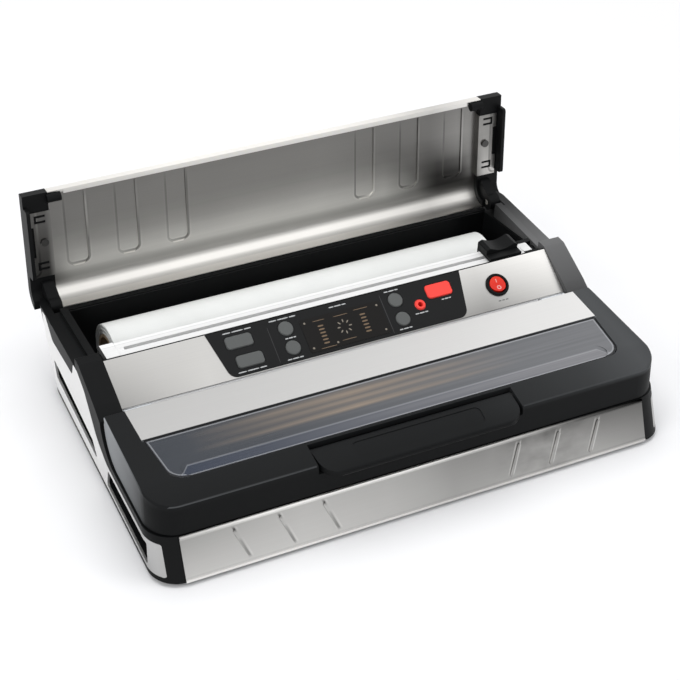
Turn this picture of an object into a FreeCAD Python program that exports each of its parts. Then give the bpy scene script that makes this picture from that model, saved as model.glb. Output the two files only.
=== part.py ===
import FreeCAD, Part
import math
import os

# A countertop vacuum sealer, drawn in millimetres with its rear cover open.
# While drawing, x runs to the right, y runs back from the front bottom edge
# and z runs up from the underside of the base. At export everything is moved
# so that the origin lies on the table, under the middle of the whole box.
V = FreeCAD.Vector
ACROSS = V(1, 0, 0)
BACK = V(0, 1, 0)
UP = V(0, 0, 1)

# Reach of cutting tools: beyond the whole machine, and just past a face
far = 300.0
past = 1.0

# Overall body
foot_height = 3.0
origin_depth = 128.75
front_rake = 12.9 / 29.1
rear_depth = 222.0
rear_rake = 18.0 / 55.0
bottom_half_front = 191.4
bottom_half_taper = 0.0408
top_half_front = 190.0
top_half_taper = 0.0165
half_width_height = 70.0
front_corner = 19.0
rear_corner = 14.0
parting_height = 28.6
floor_thickness = 2.0
rear_parting = 216.0
wall = 2.6
sheet = 0.6

# Side trims with two finger slots each, seen from the side
trim_thickness = 1.5
trim_corners = [(6.0, 3.0), (15.5, 23.5), (98.0, 23.5), (117.0, 31.5), (139.0, 55.0), (152.0, 61.5),
                (160.0, 61.5), (164.0, 50.0), (207.0, 47.0), (219.0, 60.0), (226.0, 60.0), (225.5, 40.0),
                (218.0, 4.0), (208.0, 3.0)]
trim_radii = [1.0, 2.0, 22.0, 30.0, 16.0, 3.0, 2.0, 3.0, 5.0, 2.0, 2.0, 20.0, 6.0, 6.0]
front_slot = [(20.0, 5.2), (24.0, 20.2), (96.0, 20.2), (99.0, 5.2)]
rear_slot = [(117.0, 11.4), (127.0, 22.0), (209.0, 29.8), (206.0, 15.6)]
slot_floors = [(front_slot, 181.5), (rear_slot, 178.5)]
slot_corner = 2.0
flank_top = 67.0

# Screws and feet under the base: x, y and the height of the boss
deck_thickness = 3.0
deck_under = parting_height - deck_thickness
screw_places = [(150.0, 17.0, deck_under), (166.8, 150.0, parting_height)]
boss_radius = 3.9
screw_radius = 1.4
screw_room = 0.25
screw_head_radius = 2.6
screw_head_height = 2.0
screw_head_seat = 3.0
screw_bite = 2.0
foot_radius = 9.0
foot_taper = 1.5
foot_places = [(160.0, 28.0), (160.0, 198.0)]

# Front panel
front_half_width = 172.5
bead_radius = 1.1
bead_sunk = 0.3
hem_radius = 0.8
hem_sunk = 0.35
front_rib_heads = [73.4, 104.6, 136.4]
front_rib_lean = 9.5
front_rib_half = 1.5
front_rib_span = (4.0, 26.0)
front_rib_corner = 1.3
front_rib_proud = 0.7

# Control panel plane, seen from the side
panel_low = (116.3, 51.0)
panel_high = (146.9, 68.7)
panel_half = 170.8
fascia_thickness = 1.0
panel_angle = math.degrees(math.atan2(panel_high[1] - panel_low[1], panel_high[0] - panel_low[0]))
panel_length = math.hypot(panel_high[0] - panel_low[0], panel_high[1] - panel_low[1])
panel_slope = math.tan(math.radians(panel_angle))

# Arms beside the control panel, seen from the side
shoulder_start = 81.5
shoulder_top = (109.0, 51.7)
shoulder_radius = shoulder_top[0] - shoulder_start - 0.6
scoop_centre = (shoulder_top[0] - shoulder_radius - 0.2, parting_height + shoulder_radius)
arm_knee = (118.0, 56.9)
arm_peak = (147.5, 70.0)
arm_back = 155.5
ledge_height = 62.0
inner_wall_height = 65.0
inner_wall_outer = 176.0
inner_wall_back = 221.0

# Underside of the panel's bed, seen from the side, between its two ends
riser_front = 114.4
deck_rear = 117.6
bed_end = 165.0
under_bed = [(deck_rear, parting_height - past), (deck_rear, 47.4), (146.0, 63.8), (146.0, 59.8),
             (160.0, 59.8), (160.0, parting_height - past)]

# Roll trough and film roll
trough_centre = (196.0, 36.0)
trough_radius = 32.0
trough_wall = 1.6
trough_half = 169.0
trough_front_top = 61.5
trough_rear_top = 52.0
seat_gap = 0.2
roll_radius = 25.0
roll_length = 300.0
roll_lift = 0.3
core_radius = 17.0
core_wall = 2.0

# Vacuum chamber and sealing bar in the deck
chamber_front = 56.0
chamber_back = 98.0
chamber_half = 158.0
chamber_depth = 16.0
chamber_wall = 1.8
tub_flange = 6.0
tub_flange_thickness = 1.6
gasket_reach = 7.0
gasket_back_reach = 5.0
gasket_width = 5.0
gasket_meeting = (32.0, 32.4)
seal_front = 22.0
seal_back = 34.0
seal_depth = 2.0
seal_half = 162.0
tray_gap = 0.6
tray_wall = 1.2

# Front lid
lid_gap = 1.0
lid_bottom = parting_height + lid_gap
lid_half_front = 189.4
lid_half_rear = 185.7
lid_corner = 20.0
lid_front_bottom = 13.3
lid_front_lean = (15.9 - 13.3) / (50.4 - 29.6)
lid_wall = 3.0
lid_hinge = (112.0, 47.6)
lid_rear_top = (108.2, 57.1)
lid_bend = (37.0, 54.7)
lid_bend_radius = 30.0
lid_nose = (15.9, 50.4)
lid_tip = (106.6, 53.4)
lid_edge = 1.0
lid_slope = (lid_rear_top[1] - lid_bend[1]) / (lid_rear_top[0] - lid_bend[0])
window_rear = 76.6
window_front = 35.4
window_half = 170.5
window_taper = 3.5
window_radii = [11.0, 11.0, 1.0, 1.0]
window_thickness = 3.0
window_recess = 0.8
window_edge = 0.7
facet_outline = [(-164.5, 36.6), (164.5, 36.6), (155.0, 49.5), (-155.0, 49.5)]
facet_radii = [6.0, 6.0, 7.0, 7.0]
facet_drop = 1.5
strip_half = 171.4
strip_thickness = 0.8
strip_gap = 0.4
strip_setback = 0.9
liner_low = 36.0
liner_high = 38.4
liner_back = 104.0
press_strip_profile = [(25.0, liner_low), (25.0, 30.7), (25.8, 29.9), (30.2, 29.9), (31.0, 30.7),
                       (31.0, liner_low)]
press_strip_half = 156.0
knuckle_inner = 150.0
knuckle_outer = 169.6
knuckle_radius = 4.2
knuckle_room = 0.6
knuckle_root = (100.0, 46.0)
knuckle_back = lid_rear_top[0] - 0.6
knuckle_hook = 3.6
knuckle_skin = 2.6
pin_room = 0.06
hinge_pin_radius = 2.0
hinge_pin_length = 14.0
lid_pin_start = 164.4

# Handle on the front of the lid
handle_half = 75.0
handle_taper = 2.0
handle_rear = 33.0
handle_front = 7.0
handle_corner = 14.0
handle_side_radii = [2.4, 2.0, 1.4, 2.4]
handle_axis = (30.4, 48.9)
handle_top = (51.7, 48.6)
handle_under = (46.6, 44.4)
handle_gap = 0.7
handle_floor_gap = 1.0
handle_pin_radius = 1.5
handle_pin_bite = 3.0
notch_wall = 1.7
notch_side = 4.0
dish_outline = [(-46.0, 13.0), (46.0, 13.0), (48.0, 27.5), (-48.0, 27.5)]
dish_corner = 4.0
dish_depth = 0.5

# Rear cover, described along its own length from the hinge
cover_hinge = (229.7, 59.0)
cover_y, cover_z = cover_hinge
cover_open_lean = 7.0
cover_length = 80.7
cover_flange_height = 12.5
cover_depth = 4.5
cover_half = 187.4
cover_bend_radius = 13.5
pan_half = 169.4
pan_under = cover_flange_height + cover_depth
pan_top = pan_under + sheet
bend_centre = (8.4, pan_top - cover_bend_radius)
hem_width = 3.4
hem_half = 158.0
flange_outer = 184.0
flange_span = (17.0, 67.0)
flange_slots = [25.7, 61.5]
flange_slot_span = (172.5, 180.5)
flange_slot_half = 3.0
flange_tongue_span = (172.5, 179.0)
flange_tongue_half = 1.3
flange_notch = (33.0, 56.0)
flange_notch_x = 181.2
cover_screw = (174.5, 43.7)
cover_screw_radius = 1.3
cover_screw_length = 4.2
cover_head_radius = 2.8
cover_head_height = 1.4
cover_rib_middles = [74.7, 112.1, 149.5]
cover_rib_half = 7.75
cover_rib_span = (17.0, 75.0)
cover_rib_radii = [1.5, 1.5, 4.0, 4.0]
cover_rib_height = 0.9
cap_thickness = 5.6
cap_block_low = 11.8
cap_skirt = 2.6
skirt_span = (19.5, 72.0)
skirt_low = 4.6
peg_place = (76.2, 11.5)
peg_radius = 3.2
peg_inner = 160.5
ear_corners = [(-6.2, 0.0), (-6.2, -6.2), (6.2, -6.2), (6.2, 0.0), (13.5, 10.0), (13.5, pan_under - 2.0),
               (0.0, 13.5)]
ear_radii = [0.0, 6.1, 6.1, 0.0, 3.0, 0.0, 0.0]
ear_inner = 171.2
ear_outer = 179.4
post_inner = 180.0
post_span = (214.0, 236.5)
post_top = 66.0
post_clear = 8.4
ear_slot_front = 217.0
ear_slot_floor = 49.0
cap_swing_floor = 50.5
swing_gap = 0.3

# Cutter bar and its slider
beam_top = 62.4
rail_front = 149.6
rail_back = 165.0
rail_low = 63.2
rail_high = 66.8
rail_step = 0.8
rail_half = 157.0
rail_slot = (156.2, 158.4)
rail_slot_half = 152.0
rail_pivot_x = 163.0
rail_pin_radius = 1.0
tongue_thickness = 3.4
cheek_front = 152.2
cheek_back = 162.4
bracket_top = 66.6
bracket_span = (158.4, 168.4)
latch_end = -168.2
latch_side = 0.8
latch_edge = 1.2
slider_x = 139.0
slider_half = 13.0
slider_top = 70.2
slider_over = 0.4
slider_lip = 1.1
slider_tail = 2.4
lip_low = (64.4, 63.4)
grip_setback = 5.0
horn_heights = (70.6, 74.6)
horn_width = 3.0
grip_radii = [0.0, 0.0, 1.0, 1.5, 14.0, 1.5, 1.0]
blade_half = 7.0
blade_tip = 60.9
blade_thickness = 0.8

# Controls on the sloping panel: x, distance up the slope, width, height
rect_keys = {"key_seal": (-77.0, 25.0, 19.8, 9.4), "key_vacuum_seal": (-74.1, 10.3, 19.8, 9.4),
             "key_stop": (77.4, 25.1, 20.0, 10.4)}
round_keys = {"key_mode_upper": (-41.9, 25.4), "key_mode_lower": (-41.9, 10.7),
              "key_option_upper": (43.0, 25.6), "key_option_lower": (43.0, 10.7)}
rect_key_corner = 2.6
round_key_radius = 5.4
key_proud = 1.2
key_root = -4.0
key_edge = 0.6
key_gap = 0.4
key_shoulder = 0.8
key_shoulder_span = (-2.5, -1.3)
round_key_tab = 3.0
overlay_outline = [(-91.0, 0.6), (91.0, 0.6), (98.4, panel_length - 0.2), (-98.4, panel_length - 0.2)]
overlay_radii = [7.0, 7.0, 0.0, 0.0]
overlay_proud = 0.4
plug_outline = [(-87.5, 3.2), (87.5, 3.2), (94.0, panel_length - 2.6), (-94.0, panel_length - 2.6)]
plug_corner = 3.0
lens_outline = [(-31.0, 3.2), (31.0, 3.2), (31.0, 28.4), (-31.0, 28.4)]
lens_corner = 2.0
lens_proud = 0.3
port_place = (59.5, 17.6)
port_radius = 3.4
port_flare = 0.7
port_rim = 1.0
port_root = -6.0
port_bore = 1.9
switch_place = (122.5, 17.5)
switch_radius = 8.0
bezel_lip = 0.7
bezel_proud = 1.6
bezel_root = -7.0
bezel_edge = 0.6
rocker_radius = 6.0
rocker_room = 0.8
rocker_root = -2.5
rocker_axis = -0.5
rocker_rest = -4.0
rocker_dish_radius = 22.0
rocker_dish_low = 1.3
trunnion_radius = 0.9
trunnion_half = 7.4
trunnion_end_gap = 0.3

# Inside: pump, valve, transformer and board
motor_axis = (139.0, 23.0)
motor_radius = 15.0
motor_start = -130.0
motor_length = 52.0
shaft_boss = (5.0, 3.0)
pump_length = 30.0
pump_corners = [(122.0, 6.0), (156.0, 6.0), (156.0, 40.0), (122.0, 40.0)]
pump_corner = 3.0
nozzle_height = 20.0
nozzle_radius = 2.4
nozzle_front = 112.0
cradle_corners = [(121.0, past), (157.0, past), (157.0, motor_axis[1]), (121.0, motor_axis[1])]
cradle_span = (motor_start + 8.0, motor_start + 40.0)
hose_wall = 1.2
valve_half = 10.0
valve_span = (138.0, 157.0)
valve_top = 33.0
valve_corner = 2.0
coil_radius = 8.0
coil_height = 14.0
coil_length = 18.0
port_hose_bore = 2.6
port_hose_length = 34.0
core_stack_span = (78.0, 126.0, 128.0, 152.0)
core_stack_top = 38.0
winding_outline = [(84.0, 121.0), (120.0, 121.0), (120.0, 159.0), (84.0, 159.0)]
winding_corner = 5.0
winding_span = (9.0, 31.0)
board_half = 98.0
board_span = (5.0, 29.0)
board_depth = 6.6
board_thickness = 1.6
chip_half = (12.0, 6.0)
chip_height = 2.0
standoff_half = 2.0
standoff_x = 95.0
standoff_ups = [8.0, 26.0]
bed_window_half = 91.6
bed_window_margin = 1.6
bed_window_depth = 10.0

# Cord gland in the rear wall
gland_x = -120.0
gland_height = 8.6
gland_bore = 3.2
gland_radius = 4.6
gland_flange = 6.0
gland_flange_thickness = 1.4
gland_inside = 1.2


def rounded_wire(corners, radii, place, flat=False):
    """Closed outline through 2-D corners, each rounded or, if flat, cut straight across."""
    count = len(corners)
    if isinstance(radii, float):
        radii = [radii] * count
    bends = []
    for index, (corner, radius) in enumerate(zip(corners, radii)):
        if radius <= 0:
            bends.append((corner, None, corner))
            continue
        before = corners[index - 1]
        after = corners[(index + 1) % count]
        back_length = math.dist(before, corner)
        ahead_length = math.dist(after, corner)
        back = ((before[0] - corner[0]) / back_length, (before[1] - corner[1]) / back_length)
        ahead = ((after[0] - corner[0]) / ahead_length, (after[1] - corner[1]) / ahead_length)
        half = math.acos(back[0] * ahead[0] + back[1] * ahead[1]) / 2
        reach = radius / math.tan(half)
        middle = (back[0] + ahead[0], back[1] + ahead[1])
        lift = (radius / math.sin(half) - radius) / math.hypot(*middle)
        first = (corner[0] + back[0] * reach, corner[1] + back[1] * reach)
        last = (corner[0] + ahead[0] * reach, corner[1] + ahead[1] * reach)
        bulge = (corner[0] + middle[0] * lift, corner[1] + middle[1] * lift)
        bends.append((first, bulge, last))
    edges = []
    for index, (first, bulge, last) in enumerate(bends):
        if bulge and flat:
            edges.append(Part.LineSegment(place(*first), place(*last)).toShape())
        elif bulge:
            edges.append(Part.Arc(place(*first), place(*bulge), place(*last)).toShape())
        following = bends[(index + 1) % count][0]
        if math.dist(following, last) > 1e-6:
            edges.append(Part.LineSegment(place(*last), place(*following)).toShape())
    return Part.Wire(edges)


def side_prism(corners, radii, x_from, x_to, flat=False):
    """Side-view outline (y, z) stretched across the width."""
    outline = rounded_wire(corners, radii, lambda y, z: V(x_from, y, z), flat)
    return Part.Face(outline).extrude(V(x_to - x_from, 0, 0))


def slab(corners, radii, z_from, z_to, flat=False):
    """Top-view outline (x, y) stretched upwards."""
    outline = rounded_wire(corners, radii, lambda x, y: V(x, y, z_from), flat)
    return Part.Face(outline).extrude(V(0, 0, z_to - z_from))


def rectangle(x_half, front, back):
    return [(-x_half, front), (x_half, front), (x_half, back), (-x_half, back)]


def racetrack(half, front, back, z_from, z_to):
    """Long slab with round ends."""
    return slab(rectangle(half, front, back), (back - front) / 2 - 0.05, z_from, z_to)


def box(x_from, x_to, y_from, y_to, z_from, z_to):
    return Part.makeBox(x_to - x_from, y_to - y_from, z_to - z_from, V(x_from, y_from, z_from))


def rod(radius, start, direction, length):
    return Part.makeCylinder(radius, length, start, direction)


def mirrored(shape):
    return shape.mirror(V(0, 0, 0), ACROSS)


def both_sides(shape):
    return Part.makeCompound([shape, mirrored(shape)])


def joined(first, *others):
    return first.fuse(list(others)).removeSplitter()


def with_cut_edges(shape, height, size):
    """Breaks the upper edges of a shape that stands on the drawing plane."""
    return shape.makeChamfer(size, [edge for edge in shape.Edges if edge.BoundBox.ZMin > height - 0.01])


def half_width(y, z):
    low = bottom_half_front - bottom_half_taper * y
    high = top_half_front - top_half_taper * y
    return low + (high - low) * z / half_width_height


def body_outline(z, inset, flat):
    front = sheet * math.hypot(1.0, front_rake) + front_rake * z + inset
    rear = rear_depth + rear_rake * z - inset
    front_half = half_width(front, z) - inset
    rear_half = half_width(rear, z) - inset
    corners = [(-front_half, front), (front_half, front), (rear_half, rear), (-rear_half, rear)]
    radii = [front_corner - inset, front_corner - inset, rear_corner - inset, rear_corner - inset]
    return rounded_wire(corners, radii, lambda x, y: V(x, y, z), flat)


def body_block(z_from, z_to, inset=0.0, flat=False):
    """Tapering block with the outside form of the body between two heights."""
    return Part.makeLoft([body_outline(z_from, inset, flat), body_outline(z_to, inset, flat)], True, True)


def on_panel(shape):
    """Lays a shape drawn flat (x, distance up the slope, height above it) on the control panel."""
    laid = shape.copy()
    laid.rotate(V(0, 0, 0), ACROSS, panel_angle)
    laid.translate(V(0, *panel_low))
    return laid


def on_open_cover(shape):
    """Stands up a shape drawn on the closed cover, by the angle the cover is opened."""
    stood = shape.copy()
    stood.rotate(V(0, *cover_hinge), ACROSS, -(90.0 + cover_open_lean))
    return stood


parts = {}

# Side trims: a thin skin on each flank, with two long finger slots


def grown(corners, margin):
    """Side-view outline of four corners, pushed outwards by a margin."""
    middle_y = sum(y for y, z in corners) / len(corners)
    middle_z = sum(z for y, z in corners) / len(corners)
    return [(y + math.copysign(margin, y - middle_y), z + math.copysign(margin, z - middle_z))
            for y, z in corners]


flank_layer = body_block(0.0, flank_top).cut(body_block(-past, flank_top + past, trim_thickness))
trim_left = flank_layer.common(side_prism(trim_corners, trim_radii, -far, -panel_half + past))
trim_recess = both_sides(trim_left)
pockets = []
slot_pads = []
for slot, slot_floor in slot_floors:
    pocket = side_prism(slot, slot_corner, -far, -slot_floor)
    trim_left = trim_left.cut(pocket)
    pockets.append(both_sides(pocket))
    slot_pads.append(both_sides(side_prism(grown(slot, wall), 0.0, -far, -slot_floor + wall)))
parts["side_trim_left"] = trim_left
parts["side_trim_right"] = mirrored(trim_left)

# Base: one hollow form, parted later into the tub, the rear wall and the two side cheeks
base_outside = body_block(0.0, parting_height)
base_shell = base_outside.cut(body_block(floor_thickness, parting_height + past, wall, True))
base_shell = base_shell.fuse([pad.common(base_outside) for pad in slot_pads])
screws = []
screw_holes = []
for x, y, boss_top in screw_places:
    base_shell = base_shell.fuse(both_sides(rod(boss_radius, V(x, y, past), UP, boss_top - past)))
    shank = rod(screw_radius, V(x, y, screw_head_seat), UP, boss_top + screw_bite - screw_head_seat)
    head = rod(screw_head_radius, V(x, y, screw_head_seat - screw_head_height), UP, screw_head_height)
    screws.append(both_sides(joined(shank, head)))
    screw_holes.append(both_sides(rod(screw_radius, V(x, y, boss_top - past), UP, screw_bite + past)))
    clearance = rod(screw_radius + screw_room, V(x, y, -past), UP, boss_top + 2 * past)
    counterbore = rod(screw_head_radius + screw_room, V(x, y, -past), UP, screw_head_seat + past)
    base_shell = base_shell.cut([both_sides(clearance), both_sides(counterbore)])
parts["base_screws"] = Part.makeCompound(screws)
base_shell = base_shell.cut(pockets).cut(trim_recess)
rear_part = box(-panel_half, panel_half, rear_parting, far, floor_thickness, parting_height)
base_tub = base_shell.common(box(-panel_half, panel_half, -past, far, 0.0, parting_height)).cut(rear_part)

# Feet: four rubber buttons stuck under the corners
feet = []
for x, y in foot_places:
    foot = Part.makeCone(foot_radius - foot_taper, foot_radius, foot_height, V(x, y, -foot_height), UP)
    feet.append(both_sides(foot))
parts["rubber_feet"] = Part.makeCompound(feet)

# Front panel: a steel sheet on the raked front, with a rolled top edge, a hem and slanting ribs
front_length = math.hypot(front_rake * parting_height, parting_height)
front_sheet = slab(rectangle(front_half_width, 0.0, front_length), 0.0, -sheet, 0.0)
outside = box(-far, far, -past, front_length + past, -sheet, far)
front_width = 2 * front_half_width
bead = rod(bead_radius, V(-front_half_width, front_length - bead_radius, -bead_sunk), ACROSS, front_width)
hem = rod(hem_radius, V(-front_half_width, 1.5 * hem_radius, -hem_sunk), ACROSS, front_width)
ribs = []
for head_x in front_rib_heads:
    foot_x = head_x - front_rib_lean
    low, high = front_rib_span
    rib_corners = [(foot_x - front_rib_half, low), (foot_x + front_rib_half, low),
                   (head_x + front_rib_half, high), (head_x - front_rib_half, high)]
    ribs.append(both_sides(slab(rib_corners, front_rib_corner, -sheet, front_rib_proud, True)))
front_sheet = joined(front_sheet, bead.common(outside), hem.common(outside), *ribs)
front_sheet.rotate(V(0, 0, 0), ACROSS, math.degrees(math.atan2(1.0, front_rake)))
parts["front_panel"] = front_sheet

# Side cheeks: the flanks from the floor up, with the lid's shoulder and the rear hinge post
outer_form = body_block(parting_height, arm_peak[1] + past)
arm_profile = side_prism([(arm_knee[0], parting_height), arm_knee, arm_peak, (arm_back, arm_peak[1]),
                          (arm_back, ledge_height), (far, ledge_height), (far, parting_height)],
                         [0.0, 0.0, 3.0, 0.8, 0.0, 0.0, 0.0], panel_half, far)
shoulder_corners = [(shoulder_start, parting_height), (arm_knee[0], parting_height), arm_knee, shoulder_top]
shoulder = side_prism(shoulder_corners, 0.0, panel_half, far)
shoulder = shoulder.cut(rod(shoulder_radius, V(0.0, *scoop_centre), ACROSS, far))
arm = outer_form.common(arm_profile.fuse(shoulder))
inner_wall = box(panel_half, inner_wall_outer, arm_back, inner_wall_back, parting_height, inner_wall_height)
post_low = ledge_height - past
post = side_prism([(post_span[0], post_low), (post_span[0], post_top), (post_span[1], post_top),
                   (post_span[1], post_low)], [0.0, 4.0, 6.0, 0.0], post_inner, far)
arm = joined(arm, inner_wall, post.common(body_block(post_low, post_top + past)))
ear_slot = box(ear_inner - 3 * seat_gap, ear_outer + 2 * seat_gap, ear_slot_front, far, ear_slot_floor, far)
cap_swing = box(0.0, far, post_span[1] + swing_gap, far, cap_swing_floor, far)
lid_pin = rod(hinge_pin_radius, V(lid_pin_start, *lid_hinge), ACROSS, hinge_pin_length)
cover_pin = rod(hinge_pin_radius, V(ear_inner - seat_gap, *cover_hinge), ACROSS, hinge_pin_length)
parts["hinge_pins"] = Part.makeCompound([both_sides(lid_pin), both_sides(cover_pin)])
flank = base_shell.common(box(panel_half, far, -past, far, 0.0, parting_height))
cheek = joined(flank, arm).cut([ear_slot, cap_swing, lid_pin, cover_pin]).cut(pockets).cut(trim_recess)
parts["side_cheek_right"] = cheek.removeSplitter()
parts["side_cheek_left"] = mirrored(parts["side_cheek_right"])

# Rear wall behind the trough
trough_back = trough_centre[0] + trough_radius + trough_wall + seat_gap
rear_top = box(-panel_half, panel_half, trough_back, far, parting_height, trough_rear_top)
rear_wall = joined(base_shell.common(rear_part), outer_form.common(rear_top))
rear_wall = rear_wall.cut(box(-far, far, post_span[1] + swing_gap, far, cap_swing_floor, far))

# Upper housing: bed of the control panel and cross beam, standing on the deck
bed_drop = fascia_thickness / math.cos(math.radians(panel_angle))
bed_low = (riser_front, panel_low[1] - (panel_low[0] - riser_front) * panel_slope - bed_drop)
bed_high = (panel_high[0] + fascia_thickness * math.sin(math.radians(panel_angle)),
            panel_high[1] - fascia_thickness * math.cos(math.radians(panel_angle)))
ridge_back = panel_high[0] + 1.2
beam_back = trough_centre[0] - trough_radius - trough_wall - seat_gap
bed_section = [(riser_front, parting_height), bed_low, bed_high, (bed_high[0] + 0.1, panel_high[1]),
               (ridge_back, panel_high[1]), (ridge_back, beam_top), (beam_back, beam_top),
               (beam_back, parting_height)]
bed = side_prism(bed_section, 0.0, -panel_half, panel_half)
bed = bed.cut(side_prism(under_bed, 0.0, -bed_end, bed_end))
knuckle_notch = rod(knuckle_radius + knuckle_room, V(knuckle_inner - past, *lid_hinge), ACROSS, far)
rail_groove = box(-rail_slot_half - past, rail_slot_half + past, *rail_slot, beam_top - 2.0, far)
bed_window = slab(rectangle(bed_window_half, bed_window_margin, panel_length - bed_window_margin), 0.0,
                  -bed_window_depth, 0.0)
switch_hole = rod(switch_radius, V(*switch_place, bezel_root - past), UP, far)
standoffs = [on_panel(box(x - standoff_half, x + standoff_half, up - standoff_half, up + standoff_half,
                          -board_depth, -fascia_thickness - past))
             for x in (-standoff_x, standoff_x) for up in standoff_ups]
housing = bed.fuse(standoffs).cut([both_sides(knuckle_notch), rail_groove, on_panel(bed_window),
                                   on_panel(switch_hole)] + screw_holes)
parts["upper_housing"] = housing.removeSplitter()

# Deck under the lid, with the openings for the chamber and the sealing bar
deck = body_block(deck_under, parting_height, wall + 2 * seat_gap, True)
deck = deck.common(box(-far, far, 0.0, deck_rear, 0.0, far))
chamber_floor = parting_height - chamber_depth
well_outer = racetrack(chamber_half + chamber_wall, chamber_front - chamber_wall,
                       chamber_back + chamber_wall, chamber_floor - chamber_wall, parting_height)
seal_floor = parting_height - seal_depth
seal_well = box(-seal_half, seal_half, seal_front, seal_back, seal_floor, parting_height + past)
parts["deck_plate"] = deck.cut([well_outer, seal_well] + screw_holes).removeSplitter()

# Vacuum chamber: a long tub hung under the deck, with its gaskets, and the drip tray in it
well_inner = racetrack(chamber_half, chamber_front, chamber_back, chamber_floor, parting_height + past)
flange = racetrack(chamber_half + tub_flange, chamber_front - tub_flange, chamber_back + tub_flange,
                   deck_under - tub_flange_thickness, deck_under)
parts["chamber_tub"] = joined(well_outer, flange).cut(well_inner)


def gasket(z_from, z_to):
    front = chamber_front - gasket_reach
    back = chamber_back + gasket_back_reach
    half = chamber_half + gasket_reach
    outer = racetrack(half, front, back, z_from, z_to)
    return outer.cut(racetrack(half - gasket_width, front + gasket_width, back - gasket_width,
                               z_from - past, z_to + past))


parts["lower_gasket"] = gasket(parting_height, gasket_meeting[0])
parts["upper_gasket"] = gasket(gasket_meeting[1], liner_low)
tray_outer = racetrack(chamber_half - tray_gap, chamber_front + tray_gap, chamber_back - tray_gap,
                       chamber_floor, parting_height - past)
tray_inset = tray_gap + tray_wall
tray_inner = racetrack(chamber_half - tray_inset, chamber_front + tray_inset, chamber_back - tray_inset,
                       chamber_floor + tray_wall, parting_height)
parts["drip_tray"] = tray_outer.cut(tray_inner)

# Sealing bar on the deck: carrier, heating strip and slippery tape
parts["seal_carrier"] = box(-seal_half + past, seal_half - past, seal_front + 0.5, seal_back - 0.5,
                            seal_floor, parting_height)
strip_top = parting_height + 0.3
tape_top = parting_height + 0.5
parts["heating_strip"] = box(-157.0, 157.0, 26.5, 29.5, parting_height, strip_top)
tape_corners = [(23.5, parting_height), (25.5, tape_top), (30.5, tape_top), (32.5, parting_height),
                (32.3, parting_height), (30.0, strip_top), (26.0, strip_top), (23.7, parting_height)]
parts["seal_tape"] = side_prism(tape_corners, 0.0, -158.0, 158.0)

# Roll trough: a long U-shaped tub, with the film roll and its cardboard core lying in it


def gutter(radius, front_top, rear_top, half):
    """Upright U-shaped block round the axis of the trough."""
    y, z = trough_centre
    corners = [(y - radius, front_top), (y - radius, z - radius), (y + radius, z - radius),
               (y + radius, rear_top)]
    return side_prism(corners, [0.0, radius - 0.05, radius - 0.05, 0.0], -half, half)


trough_block = gutter(trough_radius + trough_wall, trough_front_top, trough_rear_top - 2 * seat_gap,
                      trough_half + trough_wall)
parts["roll_trough"] = trough_block.cut(gutter(trough_radius, far, far, trough_half))
roll_axis = (trough_centre[0], trough_centre[1] - trough_radius + roll_radius + roll_lift)
roll_start = V(-roll_length / 2, *roll_axis)
core_out = rod(core_radius, roll_start, ACROSS, roll_length)
core_in = rod(core_radius - core_wall, roll_start, ACROSS, roll_length)
parts["film_roll"] = rod(roll_radius, roll_start, ACROSS, roll_length).cut(core_out)
parts["roll_core"] = core_out.cut(core_in)

# Control panel: steel fascia with a moulded key plate in its window, display lens and keys


def key_outline(x, up, width, height, margin):
    half_wide = width / 2 + margin
    half_high = height / 2 + margin
    return [(x - half_wide, up - half_high), (x + half_wide, up - half_high),
            (x + half_wide, up + half_high), (x - half_wide, up + half_high)]


key_holes = []
for name, sizes in rect_keys.items():
    cap = slab(key_outline(*sizes, 0.0), rect_key_corner, key_root, key_proud)
    shoulder_plate = slab(key_outline(*sizes, key_shoulder), 0.0, *key_shoulder_span)
    parts[name] = on_panel(joined(with_cut_edges(cap, key_proud, key_edge), shoulder_plate))
    key_holes.append(slab(key_outline(*sizes, key_gap), rect_key_corner + key_gap, key_root, key_proud))
for name, (x, up) in round_keys.items():
    cap = rod(round_key_radius, V(x, up, key_root), UP, key_proud - key_root)
    tab_sizes = (x, up, 2 * round_key_radius, round_key_tab)
    tabs = slab(key_outline(*tab_sizes, key_shoulder), 0.0, *key_shoulder_span)
    parts[name] = on_panel(joined(with_cut_edges(cap, key_proud, key_edge), tabs))
    key_holes.append(rod(round_key_radius + key_gap, V(x, up, key_root), UP, key_proud - key_root))
port_hole = rod(port_radius, V(*port_place, key_root), UP, far)
fascia = slab(rectangle(panel_half - 0.3, 0.0, panel_length), 0.0, -fascia_thickness, 0.0)
key_plug = slab(plug_outline, plug_corner, -fascia_thickness, 0.0)
key_plate = slab(overlay_outline, overlay_radii, 0.0, overlay_proud)
parts["control_fascia"] = on_panel(fascia.cut([key_plug, switch_hole]))
parts["panel_overlay"] = on_panel(joined(key_plate, key_plug).cut(key_holes + [port_hole]))
parts["display_lens"] = on_panel(slab(lens_outline, lens_corner, overlay_proud, overlay_proud + lens_proud))

# Accessory port and power switch
port_ring = Part.makeCone(port_radius + port_flare, port_radius, port_rim, V(*port_place, overlay_proud), UP)
port_ring = port_ring.fuse(rod(port_radius, V(*port_place, port_root), UP, overlay_proud - port_root))
port_ring = port_ring.cut(rod(port_bore, V(*port_place, port_root - past), UP, far)).removeSplitter()
parts["accessory_port"] = on_panel(port_ring)
bezel_rim = rod(switch_radius + bezel_lip, V(*switch_place, 0.0), UP, bezel_proud)
bezel = with_cut_edges(bezel_rim, bezel_proud, bezel_edge)
bezel = bezel.fuse(rod(switch_radius, V(*switch_place, bezel_root), UP, -bezel_root))
switch_well = rod(rocker_radius + rocker_room, V(*switch_place, bezel_root + past), UP, far)
switch_x, switch_up = switch_place


def trunnion(radius, half):
    """Cross pin on the rocker's axis."""
    return rod(radius, V(switch_x - half, switch_up, rocker_axis), ACROSS, 2 * half)


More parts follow.
